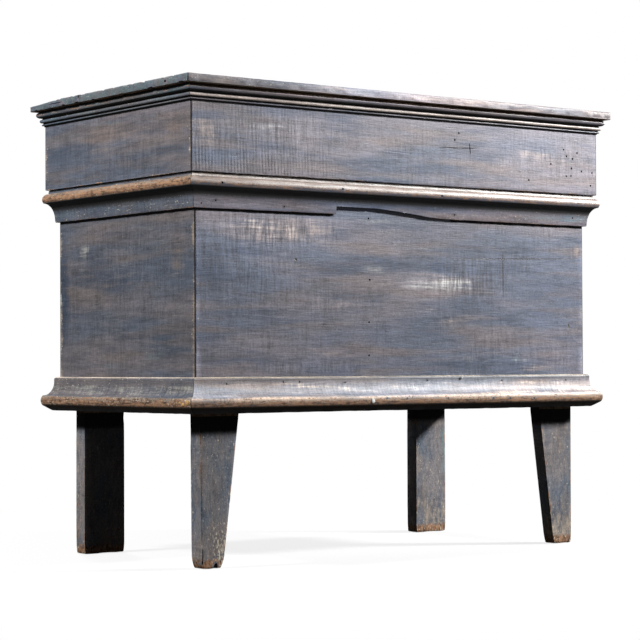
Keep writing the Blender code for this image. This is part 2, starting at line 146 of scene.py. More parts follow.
class ChestColours(bpy.types.PropertyGroup):
    """Paint, wood and iron colours of the chest."""

    slate: FloatVectorProperty(
        name="Slate blue", description="Paint where it is thickest", subtype="COLOR",
        min=0.0, max=1.0, default=(0.084, 0.098, 0.140),
    )
    violet: FloatVectorProperty(
        name="Violet grey", description="Paint rubbed a little thinner", subtype="COLOR",
        min=0.0, max=1.0, default=(0.142, 0.130, 0.154),
    )
    deep: FloatVectorProperty(
        name="Deep blue", description="Paint left dark in the hollows", subtype="COLOR",
        min=0.0, max=1.0, default=(0.040, 0.054, 0.090),
    )
    # Thin paint also tints the painted highlights on beads, coves and edges
    peach: FloatVectorProperty(
        name="Thin paint", description="Wood glowing through thin paint", subtype="COLOR",
        min=0.0, max=1.0, default=(0.290, 0.230, 0.200),
    )
    umber: FloatVectorProperty(
        name="Umber", description="Brown that tints the worn paint", subtype="COLOR",
        min=0.0, max=1.0, default=(0.152, 0.118, 0.108),
    )
    flake: FloatVectorProperty(
        name="Flakes", description="Specks of older white paint", subtype="COLOR",
        min=0.0, max=1.0, default=(0.620, 0.550, 0.440),
    )
    # Chalky rub is also the colour of painted highlights on beads and coves
    chalk: FloatVectorProperty(
        name="Chalky rub", description="Paint rubbed pale", subtype="COLOR",
        min=0.0, max=1.0, default=(0.415, 0.402, 0.385),
    )
    teal: FloatVectorProperty(
        name="Teal stain", description="Older paint in small stains", subtype="COLOR",
        min=0.0, max=1.0, default=(0.075, 0.125, 0.150),
    )
    tan: FloatVectorProperty(
        name="Worn wood", description="Wood bared on beads and arrises", subtype="COLOR",
        min=0.0, max=1.0, default=(0.420, 0.235, 0.135),
    )
    brown: FloatVectorProperty(
        name="Dark wood", description="Grain and old dirt in bare wood", subtype="COLOR",
        min=0.0, max=1.0, default=(0.060, 0.034, 0.022),
    )
    inside: FloatVectorProperty(
        name="Inside wood", description="Unpainted wood inside the case", subtype="COLOR",
        min=0.0, max=1.0, default=(0.240, 0.160, 0.100),
    )
    # Darkest colour: soiling in holes and cracks, and painted shade in hollows, under lips and on unlit
    # faces
    soil_and_shade_black: FloatVectorProperty(
        name="Hole dark", description="Dirt in holes, cracks and hollows", subtype="COLOR",
        min=0.0, max=1.0, default=(0.006, 0.005, 0.004),
    )
    iron: FloatVectorProperty(
        name="Iron", description="Oxidised iron of hinges and screws", subtype="COLOR",
        min=0.0, max=1.0, default=(0.060, 0.055, 0.052),
    )


class ChestWear(bpy.types.PropertyGroup):
    """Sizes of the hand-worn surface."""

    slice: FloatProperty(
        name="Slice", description="Spacing of the cuts that let a board bend", unit="LENGTH",
        min=0.004, max=0.05, default=0.012,
    )
    arris: FloatProperty(
        name="Arris loss", description="Most wood gone from an arris", unit="LENGTH",
        min=0.0, max=0.006, default=0.0018,
    )
    sway: FloatProperty(
        name="Sway", description="Unevenness of a hand-planed face", unit="LENGTH",
        min=0.0, max=0.003, default=0.0006,
    )
    ripple_pitch: FloatProperty(
        name="Ripple pitch", description="Spacing of the tool marks on the lid", unit="LENGTH",
        min=0.004, max=0.03, default=0.0076,
    )
    ripple_depth: FloatProperty(
        name="Ripple depth", description="Depth of the tool marks on the lid", unit="LENGTH",
        min=0.0, max=0.002, default=0.00032,
    )
    nail_hole: FloatProperty(
        name="Nail hole", description="Radius of a nail hole", unit="LENGTH",
        min=0.0005, max=0.005, default=0.0028,
    )
    worm_hole: FloatProperty(
        name="Worm hole", description="Radius of a worm hole", unit="LENGTH",
        min=0.0003, max=0.004, default=0.0028,
    )
    screw_head: FloatProperty(
        name="Screw head", description="Radius of a hinge screw's head", unit="LENGTH",
        min=0.002, max=0.006, default=0.0038,
    )


class ChestStage(bpy.types.PropertyGroup):
    """Lamps of the plain stage."""

    key: FloatProperty(
        name="Key lamp", description="Lamp at the front right", unit="POWER", min=0.0, default=335.0
    )
    side: FloatProperty(
        name="Side lamp", description="Lamp at the left", unit="POWER", min=0.0, default=185.0
    )
    rear: FloatProperty(
        name="Rear lamp", description="Lamp behind the chest", unit="POWER", min=0.0, default=110.0
    )
    ambient: FloatProperty(
        name="Ambient", description="Light from all round", subtype="FACTOR",
        min=0.0, max=1.0, default=0.008,
    )


class Tone:
    """A value, vector or colour in one material; arithmetic on values adds Math nodes."""

    def __init__(self, tree, socket=None):
        self.tree = tree
        self.socket = socket

    def node(self, kind, settings=None, sockets=None, output=0):
        """Add a node: its type, its settings, then the values or links of its sockets."""
        node = self.tree.nodes.new("ShaderNode" + kind)
        for name, value in (settings or {}).items():
            setattr(node, name, value)
        for key, value in (sockets or {}).items():
            if isinstance(value, Tone):
                self.tree.links.new(value.socket, node.inputs[key])
            else:
                node.inputs[key].default_value = value
        return Tone(self.tree, node.outputs[output]) if len(node.outputs) else node

    def maths(self, operation, first, second=0.0):
        """One Math node."""
        return self.node("Math", {"operation": operation}, {0: first, 1: second})

    def __add__(self, other):
        return self.maths("ADD", self, other)

    def __sub__(self, other):
        return self.maths("SUBTRACT", self, other)

    def __mul__(self, other):
        return self.maths("MULTIPLY", self, other)

    def __rsub__(self, other):
        return self.maths("SUBTRACT", other, self)

    __radd__ = __add__
    __rmul__ = __mul__

    def high(self, other):
        """The greater of two values."""
        return self.maths("MAXIMUM", self, other)

    def step(self, low, high):
        """0 below low, 1 above high and smooth between."""
        ends = {0: self, 1: low, 2: high, 3: 0.0, 4: 1.0}
        return self.node("MapRange", {"interpolation_type": "SMOOTHSTEP"}, ends)

    def mix(self, first, second):
        """Two colours mixed by this value."""
        colours = {0: self, 6: first, 7: second}
        return self.node("Mix", {"data_type": "RGBA"}, colours, 2)

    def shade(self, colour):
        """A colour made darker or lighter by this value."""
        return self.node("VectorMath", {"operation": "SCALE"}, {0: colour, "Scale": self})

    def spread(self, sizes, detail=3.0, roughness=0.55, shift=0.0):
        """Cloudy noise whose features have these sizes along X, Y and Z; read from a place."""
        scales = [1.0 / size for size in sizes]
        shifts = (shift, shift * 0.7, shift * 1.3)
        mapped = self.node("Mapping", None, {0: self, 1: shifts, 3: scales})
        return self.node(
            "TexNoise", None, {"Vector": mapped, "Scale": 1.0, "Detail": detail, "Roughness": roughness}
        )

    def attribute(self, name):
        """A value that the piece's own mesh holds."""
        return self.node("Attribute", {"attribute_name": name}, None, 2)


def colour(name):
    """One of the chest's colours, with alpha."""
    return (*getattr(bpy.context.scene.chest_colours, name), 1.0)


def run(along, length, width):
    """Sizes of a feature that runs along one axis."""
    sizes = [width, width, width]
    sizes[along] = length
    return sizes


def new_material(name):
    """A material, its shader and the place on the piece that its patterns read."""
    material = bpy.data.materials.new(name)
    material.use_nodes = True
    tree = material.node_tree
    shader = tree.nodes["Principled BSDF"]
    return material, shader, Tone(tree).node("TexCoord", None, None, 3)


def feed(shader, name, tone):
    """Link a value or colour to one of the shader's sockets."""
    tone.tree.links.new(tone.socket, shader.inputs[name])


def add_relief(shader, height, strength, distance):
    """Raise fine grain in the shader's normal."""
    sockets = {"Strength": strength, "Distance": distance, "Height": height}
    feed(shader, "Normal", height.node("Bump", None, sockets))


def wood_grain(place, along):
    """How light bare wood is, from long grain lines, fine pores and bruises; then the pores alone."""
    figure = place.spread(run(along, 0.22, 0.012), 5.0, 0.6, 3.1)
    pores = place.spread(run(along, 0.035, 0.0018), 2.0, 0.5, 1.7)
    bruises = place.spread(run(along, 0.014, 0.007), 4.0, 0.7, 6.6)
    return (figure * 0.5 + pores * 0.4 + bruises * 0.7).step(0.64, 0.92), pores


def painted_wood(name, along, roughness=0.48, specular=0.5, tone=1.0, weave=1.0, mottle=1.0,
                 tint=(1, 1, 1), reach=1.0):
    """Slate paint brushed along the grain and scored across it, patched and worn by its layers.

    tone makes all the paint lighter or darker, weave is the strength of the scoring across the
    grain, mottle that of the changes of hue, tint shades the hue and reach multiplies the length of
    the brush strokes. Each pattern has its size along and across the grain, in metres, and a shift
    of its own, so that no two fall together.
    """
    material, shader, place = new_material(name)
    clouds = place.spread(run(along, 0.50 * reach, 0.10), 2.0, 0.5, 7.3)
    zones = place.spread(run(along, 0.24 * reach, 0.030), 3.0, 0.55, 2.9)
    earth = place.spread(run(along, 0.34 * reach, 0.036), 3.0, 0.55, 11.7)
    local = place.spread((0.12, 0.12, 0.12), 2.0, 0.5, 14.2).step(0.45, 0.65)
    scored = (local * 0.40 + 0.15).high(place.attribute("score"))
    streaks = place.spread(run(along, 0.10 * reach, 0.010), 4.0, 0.6, 0.4).step(0.30, 0.70)
    threads = place.spread(run(along, 0.030 * reach, 0.0022), 2.0, 0.5, 5.2).step(0.30, 0.70)
    hatch = place.spread(run(along, 0.0056, 0.045), 3.0, 0.6, 8.8).step(0.32, 0.68)
    bars = place.spread(run(along, 0.020, 0.08), 2.0, 0.5, 12.9).step(0.30, 0.70)
    cracks = place.spread(run(along, 0.0044, 0.060), 2.0, 0.5, 17.9).step(0.60, 0.68) * scored
    splits = place.spread(run(along, 0.07, 0.0024), 3.0, 0.6, 9.7).step(0.64, 0.74)
    flecks = place.spread((0.005, 0.005, 0.005), 3.0, 0.65, 4.4)

    paint = clouds.step(0.40, 0.60).mix(colour("slate"), colour("violet"))
    paint = (zones.step(0.46, 0.68) * (0.75 * mottle)).mix(paint, colour("deep"))
    paint = (earth.step(0.46, 0.66) * (0.55 * mottle)).mix(paint, colour("umber"))
    ragged = streaks * 0.40 + threads * 0.10 + (hatch * 0.30 + bars * 0.20) * scored * weave
    ragged = ragged + (zones - 0.5) * 0.9
    hues = (("blue", "deep"), ("umber", "umber"), ("teal", "teal"), ("peach", "peach"), ("pale", "chalk"))
    for layer, hue in hues:
        amount = place.attribute(layer) * 1.8 + (ragged - (0.25 + 0.09 * weave)) * 0.9 - 0.47
        held = place.attribute(layer).step(0.02, 0.25)
        paint = (amount.step(0.0, 0.95) * held).mix(paint, colour(hue))
    specks = flecks.step(0.66, 0.74)
    grain = place.spread((0.0026, 0.0026, 0.0026), 2.0, 0.6, 15.5)
    cloth = (threads - 0.5) * 0.24 + (streaks - 0.5) * 0.36 + (flecks - 0.5) * 0.7 - splits * 0.25
    cloth = cloth + (grain - 0.5) - cracks * (0.30 * weave)
    cloth = cloth + ((hatch - 0.5) * 0.62 + (bars - 0.5) * 0.26) * scored * weave
    # The brightening layer lifts the paint where highlights, sheen and pools of brightness are painted in
    paint = ((cloth + 1.0) * (place.attribute("light") + 1.0) * tone).shade(paint)
    paint = place.node("VectorMath", {"operation": "MULTIPLY"}, {0: paint, 1: tint})
    rubs = place.spread(run(along, 0.055 * reach, 0.0013), 2.0, 0.5, 23.1).step(0.64, 0.74)
    scrapes = place.spread(run(along, 0.0013, 0.045), 2.0, 0.5, 26.4).step(0.64, 0.74) * scored
    paint = ((rubs + scrapes * weave) * 0.22).mix(paint, colour("chalk"))

    grown, pores = wood_grain(place, along)
    worn = place.attribute("wear") + (flecks - 0.5) * 1.2 + (threads - 0.5) * 0.3
    worn = worn.step(0.42, 0.66)
    skin = worn.mix(paint, grown.mix(colour("brown"), colour("tan")))
    skin = (specks * 0.32).mix(skin, colour("chalk"))
    flaked = place.attribute("flake")
    chips = place.spread(run(along, 0.0075, 0.0030), 2.0, 0.6, 21.3) + flaked * 0.20
    skin = (chips.step(0.70, 0.76) * flaked.step(0.02, 0.15)).mix(skin, colour("flake"))
    # Soiling and flecks, plus painted shade in hollows, quirks, under lips and beads and on unlit faces,
    # darken towards the hole colour
    grime = (place.attribute("grime") + (flecks - 0.5) * 0.5).step(0.10, 0.85)
    skin = (grime * 0.94).mix(skin, colour("soil_and_shade_black"))
    bare = place.attribute("bare")
    feed(shader, "Base Color", bare.mix(skin, grown.mix(colour("brown"), colour("inside"))))
    dull = threads * 0.08 + worn * 0.08 + specks * 0.15 + bare * 0.25 + grime * 0.5
    feed(shader, "Roughness", dull + (roughness - 0.05))
    shader.inputs["Specular IOR Level"].default_value = specular
    ridge = streaks * 0.20 + threads * 0.22 + hatch * scored * (0.35 * weave) + flecks * 0.35
    ridge = ridge - splits * 0.4 + pores * 0.2 - worn * 0.25
    add_relief(shader, ridge, 0.5, 0.0007)
    return material


def bare_wood(name, along):
    """Unpainted old wood of the inside."""
    material, shader, place = new_material(name)
    grown, pores = wood_grain(place, along)
    wood = grown.mix(colour("brown"), colour("inside"))
    stains = place.spread((0.14, 0.14, 0.14), 4.0, 0.6, 6.1)
    feed(shader, "Base Color", (stains.step(0.30, 0.75) * 0.5 + 0.62).shade(wood))
    feed(shader, "Roughness", pores * 0.2 + 0.62)
    shader.inputs["Specular IOR Level"].default_value = 0.3
    add_relief(shader, pores, 0.4, 0.0006)
    return material


def forged_iron(name):
    """Dark oxidised iron with rust in patches."""
    material, shader, place = new_material(name)
    pits = place.spread((0.0025, 0.0025, 0.0025), 4.0, 0.65)
    rust = place.spread((0.012, 0.012, 0.012), 4.0, 0.65, 2.2).step(0.52, 0.70)
    feed(shader, "Base Color", rust.mix(pits.mix(PITTED_IRON, colour("iron")), RUST))
    feed(shader, "Metallic", (1 - rust) * 0.85)
    feed(shader, "Roughness", rust * 0.3 + pits * 0.25 + 0.35)
    add_relief(shader, pits, 0.5, 0.0004)
    return material


def speckled(name, first, second):
    """A dull mottled finish for holes, chips and scratches."""
    material, shader, place = new_material(name)
    mottle = place.spread((0.002, 0.002, 0.002), 3.0, 0.6)
    feed(shader, "Base Color", mottle.step(0.35, 0.65).mix(first, second))
    shader.inputs["Roughness"].default_value = 0.85
    return material


def hole_dark(name):
    """Soiling and painted shade in holes, cracks and splits."""
    return speckled(name, colour("soil_and_shade_black"), HOLE_RIM)


def ramp(value, low, high):
    """0 below low, 1 above high and smooth between, for low under high."""
    part = max(0.0, min(1.0, (value - low) / (high - low)))
    return part * part * (3.0 - 2.0 * part)


def band(value, low, high, soft=0.0015):
    """1 between low and high, falling to 0 over soft on either side."""
    return max(0.0, min(1.0, (value - low) / soft + 1.0, (high - value) / soft + 1.0))


def patches(rows, across):
    """Layer amounts from oval patches: layer, centre and half sizes across and up, and strength."""
    def dress(place):
        amounts = {}
        for layer, centre_x, centre_z, half_x, half_z, strength in rows:
            apart = math.hypot((place[across] - centre_x) / half_x, (place.z - centre_z) / half_z)
            amount = strength * (1.0 - ramp(apart, PATCH_CORE, PATCH_RIM))
            amounts[layer] = max(amounts.get(layer, 0.0), amount)
        return amounts
    return dress


def convexity(vert):
    """How far a vertex stands out from its neighbours: 1 on an arris, 0 on a flat."""
    rises = [vert.normal.dot((vert.co - edge.other_vert(vert).co).normalized()) for edge in vert.link_edges]
    return max(0.0, min(1.0, ARRIS_GAIN * sum(rises) / len(rises))) if rises else 0.0


def room(vert, tree):
    """How far a vertex can be worn in before it meets its neighbours or the far face."""
    limits = [1.0]
    for edge in vert.link_edges:
        span = vert.co - edge.other_vert(vert).co
        fall = span.dot(vert.normal)
        if fall > STEEP_FALL * span.length:
            limits.append(FALL_SHARE * fall)
    far = tree.ray_cast(vert.co - vert.normal * MERGE, -vert.normal)[3]
    if far:
        limits.append(THICKNESS_SHARE * far)
    return min(limits)


def sliced(node, pitches, margins=(), cuts=()):
    """A merged copy of a CAD node, cut across each axis at its pitch, near its ends and at cuts."""
    shape = bmesh.new()
    shape.from_mesh(frame["nodes"][node].data)
    bmesh.ops.remove_doubles(shape, verts=shape.verts, dist=MERGE)
    bmesh.ops.dissolve_limit(shape, angle_limit=FLAT_ANGLE, verts=shape.verts, edges=shape.edges)
    low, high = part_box(node)
    for axis, pitch in enumerate(pitches):
        places = {place for cut_axis, place in cuts if cut_axis == axis}
        if pitch:
            for margin in margins:
                places |= {low[axis] + margin, high[axis] - margin}
            length = high[axis] - low[axis]
            count = max(1, round(length / pitch))
            even = [low[axis] + length * number / count for number in range(1, count)]
            clear = CUT_CLEARANCE * pitch
            places |= {place for place in even if all(abs(place - other) > clear for other in places)}
        for place in sorted(places):
            everything = [*shape.verts, *shape.edges, *shape.faces]
            bmesh.ops.bisect_plane(
                shape, geom=everything, dist=MERGE, plane_co=AXES[axis] * place, plane_no=AXES[axis]
            )
    shape.normal_update()
    return shape


def mesh_of(shape, name):
    """A mesh made from a finished shape."""
    mesh = bpy.data.meshes.new(name)
    shape.to_mesh(mesh)
    shape.free()
    return mesh


def place_piece(name, mesh, material, body):
    """Show a mesh as a piece that rides a body."""
    mesh.materials.clear()
    mesh.materials.append(material)
    piece = bpy.data.objects.new(name, mesh)
    bpy.context.scene.collection.objects.link(piece)
    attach(piece, body)
    smooth(piece)
    return piece


def worn_piece(node, material, pitches, margins=(), cuts=(), dress=None, shelter=None, rub=1.0,
               outward=None, bare_above=None, loss=1.0, bend=None):
    """A hand-worn stand-in for a CAD node, with its paint layers and bare faces as attributes.

    dress gives the layers at a place, shelter says which arrises nothing rubs, rub and loss multiply
    the paint and the wood lost from the others, faces that look against outward or lie above
    bare_above have no paint, and bend shifts a place whose face looks a given way.
    """
    sizes = bpy.context.scene.chest_wear
    shape = sliced(node, pitches, margins, cuts)
    bmesh.ops.dissolve_degenerate(shape, dist=SLIVER, edges=shape.edges)
    shape.normal_update()
    for name in LAYERS:
        shape.verts.layers.float.new(name)
    layers = {name: shape.verts.layers.float[name] for name in LAYERS}
    bare = shape.faces.layers.float.new("bare")
    for face in shape.faces:
        inner = outward is not None and face.normal.dot(outward) < INNER_FACE
        high = bare_above is not None and face.calc_center_median().z > bare_above
        face[bare] = 1.0 if inner or high else 0.0
    tree = BVHTree.FromBMesh(shape)
    moves = []
    for vert in shape.verts:
        place = vert.co.copy()
        edge = 0.0 if shelter and shelter(place) else convexity(vert)
        amounts = dress(place) if dress else {}
        for name, layer in layers.items():
            vert[layer] = amounts.get(name, 0.0)
        patchy = max(0.0, 0.6 + 0.9 * noise.noise(place * RUB_WAVES))
        vert[layers["wear"]] = max(vert[layers["wear"]], edge * rub * patchy)
        vert[layers["flake"]] = max(vert[layers["flake"]], 0.9 * edge * rub * patchy)
        # Arrises also get a painted highlight
        vert[layers["light"]] = max(vert[layers["light"]], 0.5 * edge * rub)
        nicks = noise.noise(place * NICK_WAVES) + 0.5 * noise.noise(place * CHIP_WAVES)
        depth = sizes.sway * (0.5 + 0.5 * noise.noise(place * SWAY_WAVES))
        depth += sizes.arris * loss * edge * max(0.0, 0.25 + nicks)
        if outward is not None and vert.normal.dot(outward) < INNER_CORNER:
            depth = 0.0
        move = vert.normal * -min(depth, room(vert, tree))
        if bend:
            move += bend(place, vert.normal)
        moves.append((vert, move))
    for vert, move in moves:
        vert.co += move
    mesh = mesh_of(shape, node + "_worn")
    if "custom_normal" in mesh.attributes:
        mesh.attributes.remove(mesh.attributes["custom_normal"])
    piece = place_piece(node + "_worn", mesh, material, body_of(frame["nodes"][node])[0])
    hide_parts(node)
    return piece


def smooth(piece):
    """Shade a piece smooth but for its sharp edges."""
    piece.data.shade_smooth()
    piece.data.set_sharp_from_angle(angle=SHARP_ANGLE)


def jitter(place):
    """Three noise values for a place, the same in every run."""
    apart = 31.7
    return Vector([noise.noise(place + apart * axis) for axis in AXES])


def add_holes(shape, holes, inward, depth):
    """Tapered round cutters, each at a place with a radius."""
    turn = AXES[UPRIGHT].rotation_difference(inward).to_matrix().to_4x4()
    for place, radius in holes:
        bmesh.ops.create_cone(
            shape, cap_ends=True, segments=HOLE_FACETS, radius1=radius, radius2=radius * 0.6,
            depth=2 * depth, matrix=Matrix.Translation(place) @ turn,
        )


def add_lens(shape, place, half_sizes, turn=0.0):
    """A lens-shaped cutter, turned about Y."""
    sized = Matrix.Rotation(turn, 4, "Y") @ Matrix.Diagonal((*half_sizes, 1.0))
    bmesh.ops.create_uvsphere(
        shape, u_segments=LENS_FACETS, v_segments=LENS_RINGS, radius=1.0,
        matrix=Matrix.Translation(place) @ sized,
    )


def cut(piece, shape, material):
    """Take a shape out of a piece; the cut faces get the material."""
    mesh = mesh_of(shape, "cutter")
    mesh.materials.append(material)
    cutter = bpy.data.objects.new("cutter", mesh)
    bpy.context.scene.collection.objects.link(cutter)
    boolean = piece.modifiers.new("cut", "BOOLEAN")
    boolean.operation = "DIFFERENCE"
    boolean.solver = "EXACT"
    boolean.material_mode = "TRANSFER"
    boolean.object = cutter
    graph = bpy.context.evaluated_depsgraph_get()
    result = bpy.data.meshes.new_from_object(
        piece.evaluated_get(graph), preserve_all_data_layers=True, depsgraph=graph
    )
    piece.modifiers.clear()
    old = piece.data
    piece.data = result
    bpy.data.meshes.remove(old)
    result.name = piece.name
    bpy.data.objects.remove(cutter)
    bpy.data.meshes.remove(mesh)
    smooth(piece)


def gouge(piece, place, half_sizes, material, turn=0.0):
    """Cut one crack, chip or scratch."""
    shape = bmesh.new()
    add_lens(shape, place, half_sizes, turn)
    cut(piece, shape, material)


# Patches on the faces: layer, centre across and up, half sizes across and up, strength
FRONT_PATCHES = (
    ("light", -0.330, 0.680, 0.260, 0.085, 0.60),
    ("light", 0.420, 0.580, 0.180, 0.220, 0.20),
    ("pale", -0.360, 0.684, 0.150, 0.034, 0.20),
    ("score", -0.400, 0.600, 0.150, 0.120, 0.85),
    ("score", -0.340, 0.676, 0.160, 0.040, 1.10),
    ("score", 0.190, 0.590, 0.110, 0.055, 1.10),
    ("score", -0.250, 0.398, 0.160, 0.012, 1.00),
    ("peach", -0.300, 0.676, 0.190, 0.040, 0.33),
    ("pale", -0.030, 0.704, 0.160, 0.010, 0.40),
    ("blue", -0.482, 0.587, 0.034, 0.050, 0.60),
    ("blue", -0.150, 0.602, 0.090, 0.014, 0.60),
    ("pale", -0.065, 0.600, 0.070, 0.010, 0.38),
    ("peach", -0.200, 0.524, 0.120, 0.016, 0.34),
    ("blue", -0.020, 0.610, 0.050, 0.018, 0.50),
    ("blue", 0.105, 0.612, 0.050, 0.016, 0.70),
    ("light", 0.080, 0.576, 0.130, 0.026, 0.38),
    ("pale", 0.065, 0.574, 0.125, 0.020, 0.48),
    ("peach", 0.050, 0.592, 0.070, 0.009, 0.50),
    ("grime", 0.220, 0.582, 0.060, 0.034, 0.24),
    ("blue", 0.060, 0.475, 0.090, 0.022, 0.55),
    ("peach", 0.150, 0.500, 0.090, 0.018, 0.34),
    ("blue", 0.380, 0.540, 0.080, 0.036, 0.42),
    ("peach", 0.506, 0.655, 0.012, 0.024, 0.55),
    ("pale", 0.420, 0.690, 0.080, 0.012, 0.32),
    ("teal", 0.324, 0.421, 0.030, 0.012, 0.55),
    ("pale", 0.187, 0.412, 0.050, 0.007, 0.50),
    ("pale", 0.330, 0.410, 0.040, 0.007, 0.42),
    ("peach", -0.190, 0.430, 0.070, 0.006, 0.50),
    ("peach", -0.270, 0.434, 0.050, 0.006, 0.44),
    ("peach", -0.420, 0.404, 0.050, 0.010, 0.42),
    ("peach", 0.392, 0.394, 0.080, 0.009, 0.50),
    ("peach", 0.000, 0.386, 0.400, 0.006, 0.40),
)
LID_FRONT_PATCHES = (
    ("peach", -0.515, 0.860, 0.036, 0.026, 0.44),
    ("score", -0.380, 0.860, 0.240, 0.080, 0.90),
    ("score", 0.040, 0.850, 0.160, 0.080, 0.50),
    ("pale", -0.330, 0.880, 0.110, 0.020, 0.24),
    ("blue", -0.200, 0.855, 0.060, 0.016, 0.55),
    ("blue", -0.060, 0.895, 0.080, 0.012, 0.50),
    ("pale", -0.020, 0.870, 0.050, 0.010, 0.38),
    ("blue", 0.060, 0.820, 0.080, 0.014, 0.50),
    ("light", 0.440, 0.870, 0.340, 0.120, 0.32),
    ("light", -0.240, 0.870, 0.460, 0.110, 0.18),
    ("peach", 0.400, 0.866, 0.160, 0.018, 0.40),
    ("peach", 0.420, 0.826, 0.120, 0.012, 0.36),
    ("blue", 0.330, 0.826, 0.080, 0.012, 0.45),
)
LEFT_END_PATCHES = (
    ("umber", -0.020, 0.520, 0.400, 0.300, 0.26),
    ("score", 0.020, 0.560, 0.300, 0.200, 0.60),
    ("blue", 0.250, 0.560, 0.030, 0.120, 0.75),
    ("blue", 0.100, 0.620, 0.080, 0.026, 0.44),
    ("blue", 0.000, 0.560, 0.130, 0.020, 0.48),
    ("pale", 0.161, 0.645, 0.030, 0.026, 0.42),
    ("umber", -0.200, 0.620, 0.040, 0.060, 0.48),
    ("teal", -0.118, 0.420, 0.060, 0.010, 0.50),
    ("teal", 0.060, 0.404, 0.080, 0.008, 0.42),
    ("pale", 0.259, 0.546, 0.004, 0.016, 0.90),
    ("pale", 0.259, 0.440, 0.004, 0.012, 0.70),
)
LID_LEFT_PATCHES = (
    ("umber", -0.020, 0.850, 0.400, 0.100, 0.28),
    ("score", 0.020, 0.860, 0.300, 0.100, 0.50),
    ("blue", 0.220, 0.840, 0.060, 0.040, 0.46),
    ("umber", 0.060, 0.880, 0.100, 0.024, 0.48),
    ("teal", -0.160, 0.900, 0.080, 0.010, 0.42),
    ("teal", 0.040, 0.905, 0.100, 0.008, 0.40),
    ("umber", -0.230, 0.870, 0.040, 0.036, 0.46),
    ("blue", -0.020, 0.806, 0.140, 0.012, 0.46),
)
RIGHT_END_PATCHES = (
    ("umber", 0.040, 0.500, 0.400, 0.300, 0.26),
    ("score", -0.040, 0.520, 0.280, 0.180, 0.60),
    ("light", -0.150, 0.480, 0.160, 0.100, 0.20),
    ("blue", -0.100, 0.640, 0.120, 0.030, 0.46),
    ("pale", -0.060, 0.452, 0.080, 0.014, 0.34),
    ("peach", 0.140, 0.560, 0.090, 0.020, 0.34),
    ("teal", 0.180, 0.414, 0.060, 0.010, 0.46),
)
LID_RIGHT_PATCHES = (
    ("umber", 0.020, 0.850, 0.400, 0.100, 0.28),
    ("score", -0.060, 0.860, 0.260, 0.100, 0.50),
    ("blue", -0.120, 0.826, 0.120, 0.020, 0.46),
    ("peach", 0.090, 0.868, 0.110, 0.016, 0.34),
)

# Nail and worm holes, across and up
DIVIDER_NAILS = ((-0.0906, 0.7080), (-0.0878, 0.5797), (-0.0902, 0.4914), (-0.0906, 0.4224))
LID_WORM_HOLES = (
    (0.4878, 0.8761), (0.4472, 0.8809), (0.4554, 0.8668), (0.4737, 0.8618), (0.4080, 0.8470),
    (0.4705, 0.8401), (0.4549, 0.8220), (0.4688, 0.8236), (0.5010, 0.8352), (0.5339, 0.8335),
    (0.5290, 0.8043), (0.3416, 0.8082), (0.1395, 0.8992), (0.1281, 0.8835),
)
WAIST_NAILS = (
    (-0.5143, 0.7219), (-0.4804, 0.7285), (-0.3130, 0.7230), (0.1393, 0.7240), (0.4867, 0.7309),
    (-0.4774, 0.7625), (-0.1786, 0.7637), (0.0870, 0.7612),
)
BASE_NAILS = (
    (-0.4569, 0.3661), (-0.3181, 0.3689), (-0.2778, 0.3688), (-0.1612, 0.3668), (0.0587, 0.3692),
    (0.2700, 0.3678), (0.4614, 0.3672), (-0.0669, 0.3337), (-0.0133, 0.3330), (0.0992, 0.3315),
    (0.2267, 0.3299), (0.2760, 0.3293), (0.3467, 0.3284),
)

# Nails in a moulding are smaller than in a board, and smallest in the base nose, below this height
LARGE_NAIL, SMALL_NAIL, NOSE_TOP = 0.85, 0.55, 0.35

# Cracks and scratches on a face: centre across and up, half sizes, turn in degrees
FRONT_SCRATCHES = (
    (0.284, 0.600, (0.0010, 0.0012, 0.052), 0.0),
    (0.318, 0.6345, (0.19, 0.0011, 0.0007), -1.6),
    (0.4807, 0.4885, (0.0018, 0.0014, 0.0045), 0.0),
    (-0.2793, 0.6172, (0.0030, 0.0014, 0.0024), 0.0),
)
LID_CRACKS = (
    (0.1376, 0.8670, (0.058, 0.0030, 0.0009), -2.4),
    (0.1705, 0.8677, (0.0013, 0.0030, 0.0125), -8.0),
)

# Dark nicks in the left ends of the top planks (place back and up, half sizes), and grooves in each
PLANK_NICKS = {
    "front": ((-0.231, 0.962, (0.006, 0.004, 0.0028)), (-0.150, 0.970, (0.005, 0.012, 0.0022))),
    "rear": ((0.104, 0.969, (0.012, 0.003, 0.006)), (0.200, 0.9625, (0.010, 0.030, 0.0009))),
}
GROOVES = 11

# Cuts beside an open seam, and where the waist moulding has lost its lip
SEAM_CUTS = (0.0014, 0.004, 0.009, 0.016)
PLAIN_CUTS = (0.003, 0.007)
BROKEN_LIP = (-0.180, 0.135)

# Tool marks on the lid's front: where they start, how far they run, cuts to each and waves per metre
RIPPLE_START, RIPPLE_RUN, RIPPLE_CUTS, RIPPLE_WAVES = 0.008, 0.50, 4.0, 22.0


def seamed(dress, node, along, rubbed, strength):
    """A dress with dark open seams at a board's ends and a strip beside them: rubbed thin paint on the ends
    and a painted highlight on the front boards.
    """
    low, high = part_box(node)

    def dressed(place):
        amounts = dress(place)
        inset = min(place[along] - low[along], high[along] - place[along])
        amounts["grime"] = max(amounts.get("grime", 0.0), band(inset, 0.0, 0.0005, 0.0016))
        waves = noise.noise(Vector((low[along], high.y, place.z * RUB_WAVES)))
        uneven = 0.25 + 0.75 * ramp(waves, -0.4, 0.4)
        beside = uneven * band(inset, 0.0020, 0.006, 0.008)
        # On the front boards this strip is a painted highlight, on the ends rubbed thin paint
        amounts[rubbed] = max(amounts.get(rubbed, 0.0), strength * beside)
        amounts["flake"] = max(amounts.get("flake", 0.0), 0.35 * beside)
        return amounts
    return dressed


